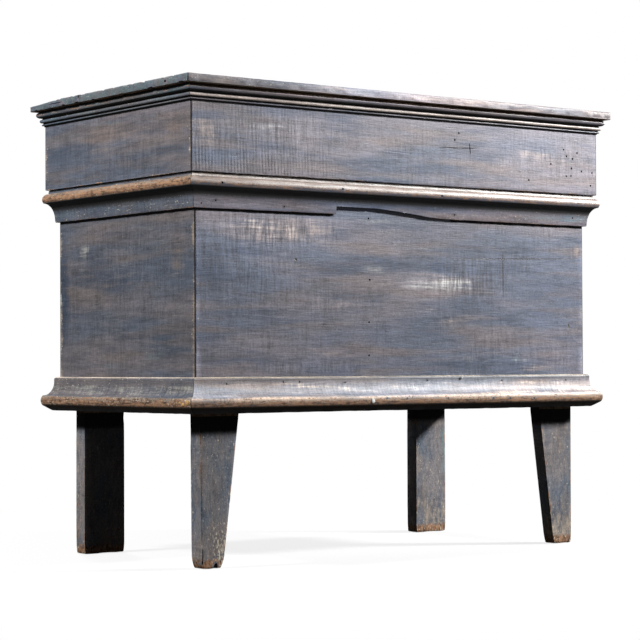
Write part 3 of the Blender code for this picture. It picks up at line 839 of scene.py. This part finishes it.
def under_lip(dress, gap=(0.0, 0.0)):
    """A dress with painted shadow under the lip of the waist moulding, left out across a gap in x."""
    def dressed(place):
        amounts = dress(place)
        if not gap[0] < place.x < gap[1]:
            # Painted shadow cast by the lip onto the board
            shade_below = 0.9 * band(place.z, LIP_Z - 0.003, LIP_Z + 0.02, 0.003)
            amounts["grime"] = max(amounts.get("grime", 0.0), shade_below)
        return amounts
    return dressed


def lid_front_dress(place):
    """Patches of the lid's front, with painted shade along the joint."""
    amounts = patches(LID_FRONT_PATCHES, LENGTHWISE)(place)
    # Painted shade along the lid's bottom edge at the joint
    amounts["grime"] = 0.5 * band(place.z, JOINT_Z, JOINT_Z + 0.001, 0.004)
    return amounts


def tool_ripple(place, normal):
    """Regular tool marks on the left of the lid's front, deepest low down."""
    sizes = bpy.context.scene.chest_wear
    if normal.y > -0.9:
        return Vector()
    rise = place.z - JOINT_Z
    fade = 1.0 - 0.7 * ramp(place.z, JOINT_Z + 0.030, JOINT_Z + 0.075)
    fade *= 1.0 - ramp(place.x, -0.36, -0.04)
    fade *= max(0.0, 0.8 + noise.noise(place * RIPPLE_WAVES))
    swell = 0.5 + 0.5 * math.sin(2.0 * math.pi * (place.x + 0.04 * rise) / sizes.ripple_pitch)
    return Vector((0.0, sizes.ripple_depth * fade * swell, 0.0))


class CHEST_OT_case_boards(bpy.types.Operator):
    """Worn boards of the lower box, with nail holes and scratches in front."""

    bl_idname = "chest.case_boards"
    bl_label = "Case boards"

    def execute(self, context):
        sizes = context.scene.chest_wear
        pitch = sizes.slice
        lip_cuts = [(UPRIGHT, LIP_Z - 0.003), (UPRIGHT, LIP_Z - 0.006)]
        front_paint = painted_wood("front_paint", LENGTHWISE, tone=1.26)
        end_paint = painted_wood(
            "end_paint", DEEP, roughness=0.55, specular=0.35, tone=0.97, mottle=0.8,
            tint=(1.01, 1.02, 0.95),
        )
        back_paint = painted_wood("back_paint", LENGTHWISE, roughness=0.6, specular=0.3, tone=0.8)
        front_dress = under_lip(patches(FRONT_PATCHES, LENGTHWISE), BROKEN_LIP)
        front = worn_piece(
            "front_board", front_paint, (pitch, 0, pitch), SEAM_CUTS,
            cuts=lip_cuts, dress=seamed(front_dress, "front_board", LENGTHWISE, "light", 1.2),
            outward=OUTWARD["front"], bare_above=JOINT_Z,
        )
        worn_piece(
            "back_board", back_paint, (pitch, 0, pitch), PLAIN_CUTS,
            shelter=lambda place: True, outward=OUTWARD["back"], bare_above=JOINT_Z,
        )
        for side, rows in (("left", LEFT_END_PATCHES), ("right", RIGHT_END_PATCHES)):
            node = side + "_end_board"
            worn_piece(
                node, end_paint, (0, pitch, pitch), SEAM_CUTS, cuts=lip_cuts,
                dress=seamed(under_lip(patches(rows, DEEP)), node, DEEP, "peach", 0.7),
                outward=OUTWARD[side], bare_above=JOINT_Z,
            )
        dark = hole_dark("board_hole")
        shape = bmesh.new()
        holes = [(Vector((x, CASE_LOW.y, z)), sizes.nail_hole) for x, z in DIVIDER_NAILS]
        add_holes(shape, holes, -OUTWARD["front"], 0.008)
        cut(front, shape, dark)
        pale = speckled("scratch", colour("chalk"), colour("peach"))
        face = CASE_LOW.y + 0.0003
        for x, z, half_sizes, turn in FRONT_SCRATCHES:
            gouge(front, (x, face, z), half_sizes, pale, math.radians(turn))
        return {"FINISHED"}


class CHEST_OT_lid(bpy.types.Operator):
    """Worn boards and top planks of the lid, with worm holes, a crack and tool marks."""

    bl_idname = "chest.lid"
    bl_label = "Lid"

    def execute(self, context):
        sizes = context.scene.chest_wear
        pitch = sizes.slice
        # The lid's front paint is a lighter copy of the case's front paint, painting in the stronger sheen
        # on the lid
        front_paint = painted_wood("lid_front_paint", LENGTHWISE, tone=1.56)
        end_paint = painted_wood(
            "lid_end_paint", DEEP, roughness=0.55, specular=0.35, tone=1.16, mottle=0.8,
            tint=(1.01, 1.00, 0.93),
        )
        back_paint = painted_wood("lid_back_paint", LENGTHWISE, roughness=0.6, specular=0.3, tone=0.8)
        step = sizes.ripple_pitch / RIPPLE_CUTS
        start = LID_LOW.x + RIPPLE_START
        ripple_cuts = [(LENGTHWISE, start + step * number) for number in range(round(RIPPLE_RUN / step))]
        front = worn_piece(
            "lid_front_board", front_paint, (pitch, 0, pitch), SEAM_CUTS,
            cuts=ripple_cuts, dress=seamed(lid_front_dress, "lid_front_board", LENGTHWISE, "light", 0.5),
            outward=OUTWARD["front"], bend=tool_ripple,
        )
        worn_piece(
            "lid_back_board", back_paint, (pitch, 0, pitch), PLAIN_CUTS,
            shelter=lambda place: True, outward=OUTWARD["back"],
        )
        for side, rows in (("left", LID_LEFT_PATCHES), ("right", LID_RIGHT_PATCHES)):
            node = f"lid_{side}_end_board"
            worn_piece(
                node, end_paint, (0, pitch, pitch), SEAM_CUTS,
                dress=seamed(patches(rows, DEEP), node, DEEP, "peach", 0.5), outward=OUTWARD[side],
            )
        dark = hole_dark("lid_hole")
        shape = bmesh.new()
        holes = []
        for x, z in LID_WORM_HOLES:
            radius = sizes.worm_hole * (1.0 + 0.3 * noise.noise((x * 90.0, z * 90.0, 0.0)))
            holes.append((Vector((x, LID_LOW.y, z)), radius))
        add_holes(shape, holes, -OUTWARD["front"], 0.007)
        cut(front, shape, dark)
        for x, z, half_sizes, turn in LID_CRACKS:
            gouge(front, (x, LID_LOW.y, z), half_sizes, dark, math.radians(turn))
        self.add_top(pitch, dark)
        return {"FINISHED"}

    def add_top(self, pitch, dark):
        """Top planks with weathered ends, the rear left corner worn down."""
        paint = painted_wood(
            "top_paint", LENGTHWISE, roughness=0.50, tone=1.2, weave=0.2, mottle=0.45,
            tint=(1.07, 1.02, 0.94),
        )

        def dress(place):
            left = ramp(-place.x, -TOP_LOW.x - 0.004, -TOP_LOW.x)
            front = ramp(-place.y, 0.304, 0.310) * (1.0 - left)
            # Painted highlight along the front edge, strongest left of the middle
            painted_highlight = 1.1 * ramp(place.x, -0.50, -0.04) * (1.0 - 0.85 * ramp(place.x, 0.10, 0.56))
            painted_highlight += max(0.0, 1.0 - ((place.x + 0.05) / 0.26) ** 2)
            # Thin pale paint and a painted highlight on the front edge, stains, soiling and flakes on the
            # left end, painted shadow along the underside edge
            return {
                "teal": 0.56 * left, "flake": max(0.34 * left, 0.22 * front),
                "peach": 0.36 * front, "light": front * (0.15 + painted_highlight),
                "grime": max(0.28 * left, 0.6 * band(place.z, TOP_LOW.z, TOP_LOW.z + 0.001, 0.002)),
            }

        def sag(place, normal):
            corner = ramp(-place.x, -TOP_LOW.x - 0.030, -TOP_LOW.x) * ramp(place.y, 0.16, TOP_HIGH.y)
            return Vector((0.0, 0.0, -0.005 * corner * ramp(place.z, TOP_LOW.z, TOP_HIGH.z)))

        groove = speckled("edge_groove", *WEATHERED_WOOD)
        edge_cuts = [(UPRIGHT, TOP_LOW.z + 0.003), (UPRIGHT, TOP_HIGH.z - 0.004)]
        for row, nicks in PLANK_NICKS.items():
            node = f"lid_top_{row}_plank"
            plank = worn_piece(
                node, paint, (pitch, pitch, 0), (0.004, 0.010), cuts=edge_cuts,
                dress=dress, shelter=lambda place: abs(place.y - SEAM_Y) < 0.006,
                outward=AXES[UPRIGHT], rub=0.5, loss=1.8, bend=sag,
            )
            cut(plank, self.end_grooves(*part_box(node)), groove)
            if row == "front":
                # A chip where the seam meets the left end
                gouge(plank, (TOP_LOW.x, SEAM_Y, TOP_HIGH.z), (0.007, 0.007, 0.0035), groove)
            for y, z, half_sizes in nicks:
                gouge(plank, (TOP_LOW.x, y, z), half_sizes, dark)

    def end_grooves(self, low, high):
        """Long grooves weathered into both arrises of a plank's left end."""
        shape = bmesh.new()
        for number in range(GROOVES):
            chance = jitter(Vector((7.3 * number, 1.7, high.y)))
            along = low.y + (high.y - low.y) * (number + 0.5 + 0.3 * chance.x) / GROOVES
            arris = TOP_HIGH.z if number % 3 else TOP_LOW.z
            half = (0.028 + 0.012 * chance.z, 0.0075 + 0.006 * chance.x, 0.0030 + 0.0018 * chance.y)
            add_lens(shape, (low.x, along, arris), half)
        return shape


def base_dress(side):
    """Paint on the ledge and cove, bare wood on the nose, painted highlights on the front cove, the ledge
    and the nose's upper half, and painted shade under the nose; drop is from the top.
    """
    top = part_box("base_moulding_front")[1].z

    def dress(place):
        drop = top - place.z
        # The nose's upper half is painted lighter with thin paint and its lower half darker with bare wood:
        # a painted highlight and shade over real wear
        upper = band(drop, 0.0430, 0.0535, 0.004)
        lower = band(drop, 0.0505, 0.0625, 0.003)
        # Painted shade on the nose's underside
        shade_below = ramp(drop, 0.0545, 0.0630)
        if side == "front":
            # Painted highlight on the front cove, stronger to the right, in pale and thin paint and
            # brightening
            painted_highlight = 0.8 + 0.2 * ramp(place.x, -0.50, -0.15)
            cove = painted_highlight * band(drop, 0.013, 0.041, 0.006)
            return {
                "grime": shade_below, "light": 1.70 * cove, "score": 0.5 * cove,
                "pale": max(0.24 * cove, 0.6 * band(drop, 0.0, 0.002)),
                "peach": max(0.62 * upper, 0.22 * cove), "wear": max(0.40 * upper, 0.70 * lower),
            }
        worn = 1.0 if side == "left" else 0.8
        ledge = band(drop, 0.0, 0.0015)
        nose = band(drop, 0.0405, 0.0625, 0.003)
        corner = nose * band(place.y, CASE_LOW.y - 0.04, CASE_LOW.y - 0.015, 0.01)
        # A painted highlight along the ledge's top edge
        return {
            "grime": max(shade_below, 0.16 * nose), "umber": 0.36, "light": 0.9 * worn * ledge,
            "wear": worn * max(0.60 * upper, 0.95 * lower), "peach": max(upper, ledge, corner),
            "flake": max(0.28, 0.44 * nose, 0.7 * corner), "score": band(drop, 0.012, 0.040, 0.004),
            "pale": max(0.32 * band(drop, 0.018, 0.036, 0.004), 0.4 * worn * ledge),
        }
    return dress


def waist_dress(side):
    """A worn bead with painted highlights, on the fillet and lip too in front, painted shade in the hollow
    under the bead and a worn lower edge; drop is from the top.
    """
    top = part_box("waist_moulding_front")[1].z

    def dress(place):
        drop = top - place.z
        # Painted shade in the hollow under the bead
        hollow = ramp(drop, 0.0240, 0.0275) * (1.0 - ramp(drop, 0.0350, 0.0560))
        edge = 0.50 * band(drop, 0.0676, 0.0692, 0.001)
        if side == "front":
            # Painted highlights on the fillet, the bead (stronger away from the corner) and the lip, in
            # pale and thin paint and brightening
            fillet = band(drop, 0.0005, 0.007)
            bead = band(drop, 0.0110, 0.0195, 0.003) * (0.55 + 0.45 * ramp(place.x, -0.52, -0.30))
            lip = band(drop, 0.0480, 0.0692, 0.010)
            return {
                "grime": max(hollow, 0.20 * band(drop, 0.0085, 0.0235, 0.003)),
                "wear": max(edge, 0.50 * band(drop, 0.0190, 0.0250, 0.003)),
                "pale": max(0.46 * bead, 0.60 * fillet),
                "peach": max(fillet, band(drop, 0.0090, 0.0205, 0.003)),
                "light": max(0.4 * bead, 0.4 * fillet, 0.55 * lip),
                "flake": 0.26 * band(drop, 0.0400, 0.0660, 0.004) * ramp(place.x, -0.10, 0.20),
                "blue": 0.36 * band(drop, 0.0400, 0.0560, 0.004) * ramp(place.x, -0.15, 0.10),
                "teal": 0.46 * band(drop, 0.0440, 0.0620, 0.004) * ramp(place.x, 0.15, 0.42),
            }
        # On the other sides the bead's upper half is painted lighter with thin paint and its lower half
        # darker with bare wood: a painted highlight and shade over real wear
        upper = band(drop, 0.0080, 0.0160, 0.002)
        lower = band(drop, 0.0150, 0.0250, 0.002)
        return {
            "grime": max(hollow, 0.14 * band(drop, 0.0080, 0.0250, 0.002)),
            "wear": max(edge, 0.56 * upper, 0.95 * lower), "peach": upper, "flake": 0.28,
            "teal": 0.28 * band(drop, 0.0440, 0.0640, 0.004), "score": band(drop, 0.0400, 0.0660, 0.004),
        }
    return dress


def cornice_dress(side):
    """Beads with painted shade in the quirks between them, painted highlights on the front's beads and
    painted shadow under the top planks on the other sides; drop is from the top.
    """
    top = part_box("cornice_moulding_front")[1].z

    def dress(place):
        drop = top - place.z
        # Painted shade in the quirks between the beads
        quirks = max(
            band(drop, 0.0118, 0.0172, 0.001), band(drop, 0.0240, 0.0272, 0.0006),
            band(drop, 0.0302, 0.0330, 0.0006),
        )
        if side == "front":
            # Painted highlights on the first and third beads, strongest left of the middle
            painted_highlight = ramp(place.x, -0.48, -0.22) * (1.0 - 0.85 * ramp(place.x, -0.02, 0.20))
            first = band(drop, 0.0005, 0.0055, 0.002)
            third = band(drop, 0.0175, 0.0240, 0.001)
            return {
                "grime": quirks, "peach": max(0.70 * first, 0.7 * third),
                "pale": max(0.40 * third, 0.3 * painted_highlight * first),
                "light": max((0.2 + 3.4 * painted_highlight) * first, 0.4 * third),
            }
        # Painted shade in the quirks and painted shadow under the top planks; stains, flakes and wear
        return {
            "grime": max(quirks, band(drop, 0.0, 0.0012), band(drop, 0.0, 0.0045, 0.001)),
            "teal": 0.46, "flake": 0.24, "wear": 0.44 * band(drop, 0.0060, 0.0095, 0.001),
        }
    return dress


class CHEST_OT_mouldings(bpy.types.Operator):
    """Base, waist and cornice mouldings, rubbed, with painted highlights on their beads and coves and
    painted shade in their hollows, and pierced by nails in front.
    """

    bl_idname = "chest.mouldings"
    bl_label = "Mouldings"

    def execute(self, context):
        sizes = context.scene.chest_wear
        end_paint = painted_wood(
            "moulding_paint_end", DEEP, roughness=0.46, specular=0.4, tone=1.10, weave=0.5, mottle=0.8,
            tint=(1.0, 1.03, 0.97),
        )
        paints = {
            "front": painted_wood("moulding_paint_front", LENGTHWISE, roughness=0.36, tone=1.2, weave=0.3),
            "back": painted_wood(
                "moulding_paint_back", LENGTHWISE, roughness=0.62, specular=0.25, tone=0.9, weave=0.3
            ),
            "left": end_paint,
            "right": end_paint,
        }
        base_paint = painted_wood(
            "base_paint_front", LENGTHWISE, roughness=0.50, specular=0.40, tone=1.25, weave=0.9, mottle=0.9,
            tint=(1.26, 1.13, 0.92),
        )
        pieces = {}
        for kind, dress in (("base", base_dress), ("waist", waist_dress), ("cornice", cornice_dress)):
            for side in OUTWARD:
                along = DEEP if side in ("left", "right") else LENGTHWISE
                pitches = [0, 0, 0]
                pitches[along] = sizes.slice
                paint = base_paint if (kind, side) == ("base", "front") else paints[side]
                pieces[kind, side] = worn_piece(
                    f"{kind}_moulding_{side}", paint, pitches,
                    dress=dress(side), rub=0.0, loss=0.6,
                )
        dark = hole_dark("moulding_hole")
        for kind, nails in (("base", BASE_NAILS), ("waist", WAIST_NAILS)):
            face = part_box(f"{kind}_moulding_front")[0].y + 0.012
            shape = bmesh.new()
            holes = []
            for x, z in nails:
                share = SMALL_NAIL if z < NOSE_TOP else LARGE_NAIL
                holes.append((Vector((x, face, z)), sizes.nail_hole * share))
            add_holes(shape, holes, -OUTWARD["front"], 0.016)
            cut(pieces[kind, "front"], shape, dark)
        return {"FINISHED"}


# How far wear draws in the corners of each foot, and up to what height
FOOT_ROUND = {
    ("front", "left"): 0.26, ("front", "right"): 0.12, ("rear", "left"): 0.05, ("rear", "right"): 0.05,
}
ROUND_HEIGHT = 0.026


def leg_dress(row, side):
    """Bruised foot, painted shadow under the case, painted shade on the rear left leg and each leg's own
    stains.
    """
    low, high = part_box(f"{row}_{side}_leg")

    def dress(place):
        up = place.z
        # Painted shadow of the base moulding across the top of each leg; wear and soiling at the foot
        amounts = {
            "wear": 0.95 * (1.0 - ramp(up, 0.008, 0.030)),
            "grime": max(0.9 * ramp(up, 0.258, 0.276), 0.16 * (1.0 - ramp(up, 0.004, 0.016))),
            "umber": 0.40,
            "flake": max(0.22, 0.5 * (1.0 - ramp(up, 0.010, 0.040))),
        }
        if (row, side) == ("front", "left"):
            inner = ramp(place.x, low.x + 0.014, low.x + 0.040)
            amounts["flake"] = max(amounts["flake"], 0.90 * (1.0 - ramp(up, 0.05, 0.11)) * inner)
        if (row, side) == ("rear", "right"):
            edge = ramp(place.x, high.x - 0.035, high.x - 0.01)
            amounts["teal"] = 0.50 * edge * band(up, 0.14, 0.24, 0.03)
            amounts["peach"] = 0.38 * (1.0 - ramp(up, 0.05, 0.18))
        if (row, side) == ("rear", "left"):
            amounts["wear"] = max(amounts["wear"], 0.40 * (1.0 - ramp(up, 0.04, 0.16)))
            # Painted shade on all but the outer side face of the rear left leg
            amounts["grime"] = max(amounts["grime"], 0.45 * ramp(place.x, low.x + 0.004, low.x + 0.010))
        if (row, side) == ("front", "right"):
            amounts["peach"] = 0.52 * (1.0 - ramp(up, 0.03, 0.10))
        return amounts
    return dress


def foot_round(row, side):
    """Corners of a foot drawn in by wear."""
    share = FOOT_ROUND[row, side]
    feet = {mount["name"]: mount["pos_m"] for mount in frame["record"]["mounts"]}
    foot_x = feet[f"{row}_{side}_foot"][0]

    def bend(place, normal):
        near = max(0.0, 1.0 - place.z / ROUND_HEIGHT)
        return Vector(((foot_x - place.x) * share * near * near, 0.0, 0.0))
    return bend


class CHEST_OT_legs(bpy.types.Operator):
    """Plank legs with worn arrises, bruised feet and a split."""

    bl_idname = "chest.legs"
    bl_label = "Legs"

    def execute(self, context):
        pitch = context.scene.chest_wear.slice
        paint = painted_wood(
            "leg_paint", UPRIGHT, roughness=0.62, specular=0.15, tone=1.50, weave=0.8, mottle=0.6,
            tint=(1.02, 1.05, 0.93), reach=0.30,
        )
        dark = hole_dark("leg_split")
        for row in ("front", "rear"):
            for side in ("left", "right"):
                leg = worn_piece(
                    f"{row}_{side}_leg", paint, (pitch, 0, pitch), (0.004, 0.008, 0.018),
                    dress=leg_dress(row, side), bare_above=CASE_LOW.z, loss=1.5, bend=foot_round(row, side),
                )
                if (row, side) == ("front", "left"):
                    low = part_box("front_left_leg")[0]
                    gouge(leg, (low.x + 0.006, low.y + 0.001, 0.024), (0.0014, 0.004, 0.018), dark)
                    gouge(leg, (low.x + 0.036, low.y, 0.003), (0.005, 0.008, 0.009), dark, 0.35)
        return {"FINISHED"}


# Waves per metre of a flake's outline, and their depth as a share of its size
FLAKE_WAVES, FLAKE_DEPTH = 420.0, 0.26


class CHEST_OT_chips(bpy.types.Operator):
    """Small white and gold chips of filler and old paint."""

    bl_idname = "chest.chips"
    bl_label = "Chips"

    def execute(self, context):
        nose_x, nose_y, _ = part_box("base_moulding_left")[0]
        self.add_chips("white_chips", speckled("chip_white", *WHITE_CHIP), [
            ((-0.1051, nose_y + 0.0006, 0.3279), (0.0058, 0.0020, 0.0058)),
            ((0.1529, CASE_LOW.y - 0.0110, 0.3736), (0.0022, 0.0020, 0.0031)),
        ])
        self.add_chips("gold_chips", speckled("chip_gold", *GOLD_CHIP), [
            ((nose_x + 0.0004, nose_y + 0.013, 0.3305), (0.0016, 0.0070, 0.0050)),
            ((nose_x + 0.0004, nose_y + 0.029, 0.3262), (0.0014, 0.0055, 0.0034)),
            ((nose_x + 0.0004, nose_y + 0.040, 0.3300), (0.0012, 0.0034, 0.0026)),
        ])
        return {"FINISHED"}

    def add_chips(self, name, material, chips):
        """One piece of flat flakes, each at a place with its half sizes."""
        shape = bmesh.new()
        for place, half_sizes in chips:
            matrix = Matrix.Translation(place) @ Matrix.Diagonal((*half_sizes, 1.0))
            made = bmesh.ops.create_icosphere(shape, subdivisions=2, radius=1.0, matrix=matrix)
            for vert in made["verts"]:
                uneven = jitter(vert.co * FLAKE_WAVES)
                vert.co += FLAKE_DEPTH * Vector([half * amount for half, amount in zip(half_sizes, uneven)])
        place_piece(name, mesh_of(shape, name), material, "case")


def assign(node, material):
    """Give a carried-over CAD node a finish."""
    frame["nodes"][node].data.materials.clear()
    frame["nodes"][node].data.materials.append(material)


class CHEST_OT_inside(bpy.types.Operator):
    """Bare planks, cleats and divider inside the case."""

    bl_idname = "chest.inside"
    bl_label = "Inside"

    def execute(self, context):
        along_case = bare_wood("bottom_wood", LENGTHWISE)
        across_case = bare_wood("divider_wood", DEEP)
        for node in ("bottom_plank_1", "bottom_plank_2", "bottom_plank_3"):
            assign(node, along_case)
        for node in ("left_bottom_cleat", "right_bottom_cleat", "divider"):
            assign(node, across_case)
        return {"FINISHED"}


# Hinge leaves: half the gap between them, and the screws' places, inset and slot
LEAF_CLEARANCE = 0.00015
SCREW_SHIFTS = (-0.025, 0.0, 0.025)
SCREW_INSET = 0.010
SLOT_SIZE = (0.0010, 0.0016)


class CHEST_OT_hinges(bpy.types.Operator):
    """Iron butt hinges with three slotted screws in each leaf."""

    bl_idname = "chest.hinges"
    bl_label = "Hinges"

    def execute(self, context):
        radius = context.scene.chest_wear.screw_head
        iron = forged_iron("hinge_iron")
        for side in ("left", "right"):
            assign(f"{side}_hinge_pin", iron)
            for level, up in (("lower", 1), ("upper", -1)):
                self.add_leaf(f"{side}_hinge_{level}_leaf", up, radius, iron)
        return {"FINISHED"}

    def add_leaf(self, node, up, radius, iron):
        """A leaf drilled and filled with screws on the face that looks up (1) or down (-1)."""
        low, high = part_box(node)
        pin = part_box(node.rsplit("_", 2)[0] + "_pin")
        face_z = (pin[0].z + pin[1].z) / 2 - up * LEAF_CLEARANCE
        middle_x = (low.x + high.x) / 2
        body = body_of(frame["nodes"][node])[0]
        mesh = mesh_of(sliced(node, (0, 0, 0)), node + "_drilled")
        leaf = place_piece(node + "_drilled", mesh, iron, body)
        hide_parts(node)
        sinks, heads, slots = bmesh.new(), bmesh.new(), bmesh.new()
        for number, shift in enumerate(SCREW_SHIFTS):
            spot = Vector((middle_x + shift, low.y + SCREW_INSET, face_z))
            turn = Matrix.Translation(spot) @ Matrix.Rotation(0.0 if up < 0 else math.pi, 4, "X")
            bmesh.ops.create_cone(
                sinks, cap_ends=True, segments=SCREW_FACETS, radius1=radius * 1.15, radius2=radius * 0.45,
                depth=0.0036, matrix=turn @ Matrix.Translation((0.0, 0.0, 0.0012)),
            )
            bmesh.ops.create_cone(
                heads, cap_ends=True, segments=SCREW_FACETS, radius1=radius, radius2=radius * 0.5,
                depth=0.0016, matrix=turn @ Matrix.Translation((0.0, 0.0, 0.0011)),
            )
            angle = Matrix.Rotation(0.6 + 1.1 * number, 4, "Z")
            slot = Matrix.Diagonal((3.0 * radius, *SLOT_SIZE, 1.0))
            bmesh.ops.create_cube(slots, size=1.0, matrix=turn @ angle @ slot)
        cut(leaf, sinks, iron)
        screws = place_piece(node + "_screws", mesh_of(heads, node + "_screws"), iron, body)
        cut(screws, slots, iron)


# Camera, found from the corners and edges in the photograph
CAMERA_PLACE = (-2.8145, -3.7203, 0.4017)
CAMERA_YAW = math.radians(36.911)
CAMERA_PITCH = math.radians(1.236)
CAMERA_ROLL = math.radians(-0.254)
CAMERA_LENS = 118.736
CAMERA_SENSOR = 36.0
CAMERA_REACH = 100.0

# Share of the white surround that gloss shows, as in a dim studio
GLOSS_SHARE = 0.3

# Lamps: place and width, all turned to the middle of the chest
LAMPS = {
    "key": ((3.3, -2.15, 2.45), 0.55),
    "side": ((-3.3, 0.35, 3.25), 0.7),
    "rear": ((0.8, 3.8, 2.4), 1.2),
}
LAMP_TARGET = Vector((0.0, 0.0, 0.6))

# Floor: half its width, its clearance under the feet and its shades
FLOOR_REACH = 30.0
FLOOR_GAP = 0.0004
WHITE = (1.0, 1.0, 1.0, 1.0)
PAPER = (0.9, 0.9, 0.9, 1.0)
PAPER_UNSEEN = (0.04, 0.04, 0.04, 1.0)


def add_camera():
    """The camera, at the photograph's place and angle."""
    forward = Vector((
        math.sin(CAMERA_YAW) * math.cos(CAMERA_PITCH),
        math.cos(CAMERA_YAW) * math.cos(CAMERA_PITCH),
        math.sin(CAMERA_PITCH),
    ))
    level = Vector((math.cos(CAMERA_YAW), -math.sin(CAMERA_YAW), 0.0))
    above = level.cross(forward)
    right = level * math.cos(CAMERA_ROLL) + above * math.sin(CAMERA_ROLL)
    up = above * math.cos(CAMERA_ROLL) - level * math.sin(CAMERA_ROLL)
    data = bpy.data.cameras.new("photo_camera")
    data.lens = CAMERA_LENS
    data.sensor_width = CAMERA_SENSOR
    data.sensor_height = CAMERA_SENSOR
    data.sensor_fit = "HORIZONTAL"
    data.clip_end = CAMERA_REACH
    camera = bpy.data.objects.new("photo_camera", data)
    camera.matrix_world = Matrix((right, up, -forward)).transposed().to_4x4()
    camera.location = CAMERA_PLACE
    bpy.context.scene.collection.objects.link(camera)
    bpy.context.scene.camera = camera


def add_lamp(name, place, size, power):
    """A round soft lamp."""
    data = bpy.data.lights.new(name, "AREA")
    data.shape = "DISK"
    data.size = size
    data.energy = power
    lamp = bpy.data.objects.new(name, data)
    lamp.location = place
    lamp.rotation_euler = (LAMP_TARGET - Vector(place)).to_track_quat("-Z", "Y").to_euler()
    bpy.context.scene.collection.objects.link(lamp)
    return lamp


def seen_directly(start):
    """1 for what the camera sees, straight or through glass, and less for what it sees in gloss."""
    outputs = start.node("LightPath").socket.node.outputs
    straight, gloss, through = (
        Tone(start.tree, outputs[f"Is {kind} Ray"]) for kind in ("Camera", "Glossy", "Transmission")
    )
    return straight.high(through).high(gloss * GLOSS_SHARE)


def floor_material():
    """Pale floor that stays white in the picture and keeps a faint shadow."""
    material = bpy.data.materials.new("floor_paper")
    material.use_nodes = True
    tree = material.node_tree
    tree.nodes.clear()
    start = Tone(tree)
    paper = start.node("BsdfDiffuse", None, {"Color": PAPER})
    unseen = start.node("BsdfDiffuse", None, {"Color": PAPER_UNSEEN})
    white = start.node("Emission", None, {"Color": WHITE, "Strength": 1.0})
    place = start.node("TexCoord", None, None, 3)
    apart = place.node("VectorMath", {"operation": "LENGTH"}, {0: place}, 1)
    near = (1 - apart.step(0.7, 1.5)) * 0.2
    shown = start.node("MixShader", None, {0: near, 1: white, 2: paper})
    both = start.node("MixShader", None, {0: seen_directly(start), 1: unseen, 2: shown})
    start.node("OutputMaterial", None, {"Surface": both})
    return material


class CHEST_OT_stage(bpy.types.Operator):
    """Pale floor, three soft lamps, white surround and the camera."""

    bl_idname = "chest.stage"
    bl_label = "Stage"

    def execute(self, context):
        lamps = context.scene.chest_stage
        shape = bmesh.new()
        bmesh.ops.create_grid(shape, x_segments=1, y_segments=1, size=FLOOR_REACH)
        bmesh.ops.translate(shape, verts=shape.verts, vec=(0.0, 0.0, -FLOOR_GAP))
        mesh = mesh_of(shape, "floor")
        mesh.materials.append(floor_material())
        floor = bpy.data.objects.new("floor", mesh)
        context.scene.collection.objects.link(floor)

        for name, (place, size) in LAMPS.items():
            lamp = add_lamp(name + "_lamp", place, size, getattr(lamps, name))
            lamp.visible_glossy = name != "rear"

        world = bpy.data.worlds.new("white_surround")
        world.use_nodes = True
        tree = world.node_tree
        tree.nodes.clear()
        start = Tone(tree)
        strength = seen_directly(start) * (1.0 - lamps.ambient) + lamps.ambient
        background = start.node("Background", None, {"Color": WHITE, "Strength": strength})
        start.node("OutputWorld", None, {"Surface": background})
        context.scene.world = world
        context.scene.view_settings.view_transform = "Standard"
        add_camera()
        return {"FINISHED"}


STEPS = (
    CHEST_OT_stage,
    CHEST_OT_case_boards,
    CHEST_OT_lid,
    CHEST_OT_mouldings,
    CHEST_OT_legs,
    CHEST_OT_chips,
    CHEST_OT_inside,
    CHEST_OT_hinges,
)


class CHEST_PT_panel(bpy.types.Panel):
    """Sidebar panel with the chest's colours, sizes, lamps and steps."""

    bl_idname = "CHEST_PT_panel"
    bl_label = "Blanket chest"
    bl_space_type = "VIEW_3D"
    bl_region_type = "UI"
    bl_category = "Chest"

    def draw(self, context):
        for group in (context.scene.chest_colours, context.scene.chest_wear, context.scene.chest_stage):
            box = self.layout.box()
            for name in group.__annotations__:
                box.prop(group, name)
        for step in STEPS:
            self.layout.operator(step.bl_idname)


GROUPS = {"chest_colours": ChestColours, "chest_wear": ChestWear, "chest_stage": ChestStage}
CLASSES = (*GROUPS.values(), *STEPS, CHEST_PT_panel)


def register():
    """Make the classes and the chest's values known to Blender."""
    for kind in CLASSES:
        bpy.utils.register_class(kind)
    for name, group in GROUPS.items():
        setattr(bpy.types.Scene, name, PointerProperty(type=group))


def unregister():
    """Take them away again."""
    for name in GROUPS:
        delattr(bpy.types.Scene, name)
    for kind in reversed(CLASSES):
        bpy.utils.unregister_class(kind)


def main():
    """Run every step in order."""
    register()
    for step in STEPS:
        group, name = step.bl_idname.split(".")
        getattr(getattr(bpy.ops, group), name)()


if __name__ == "__main__":
    main()
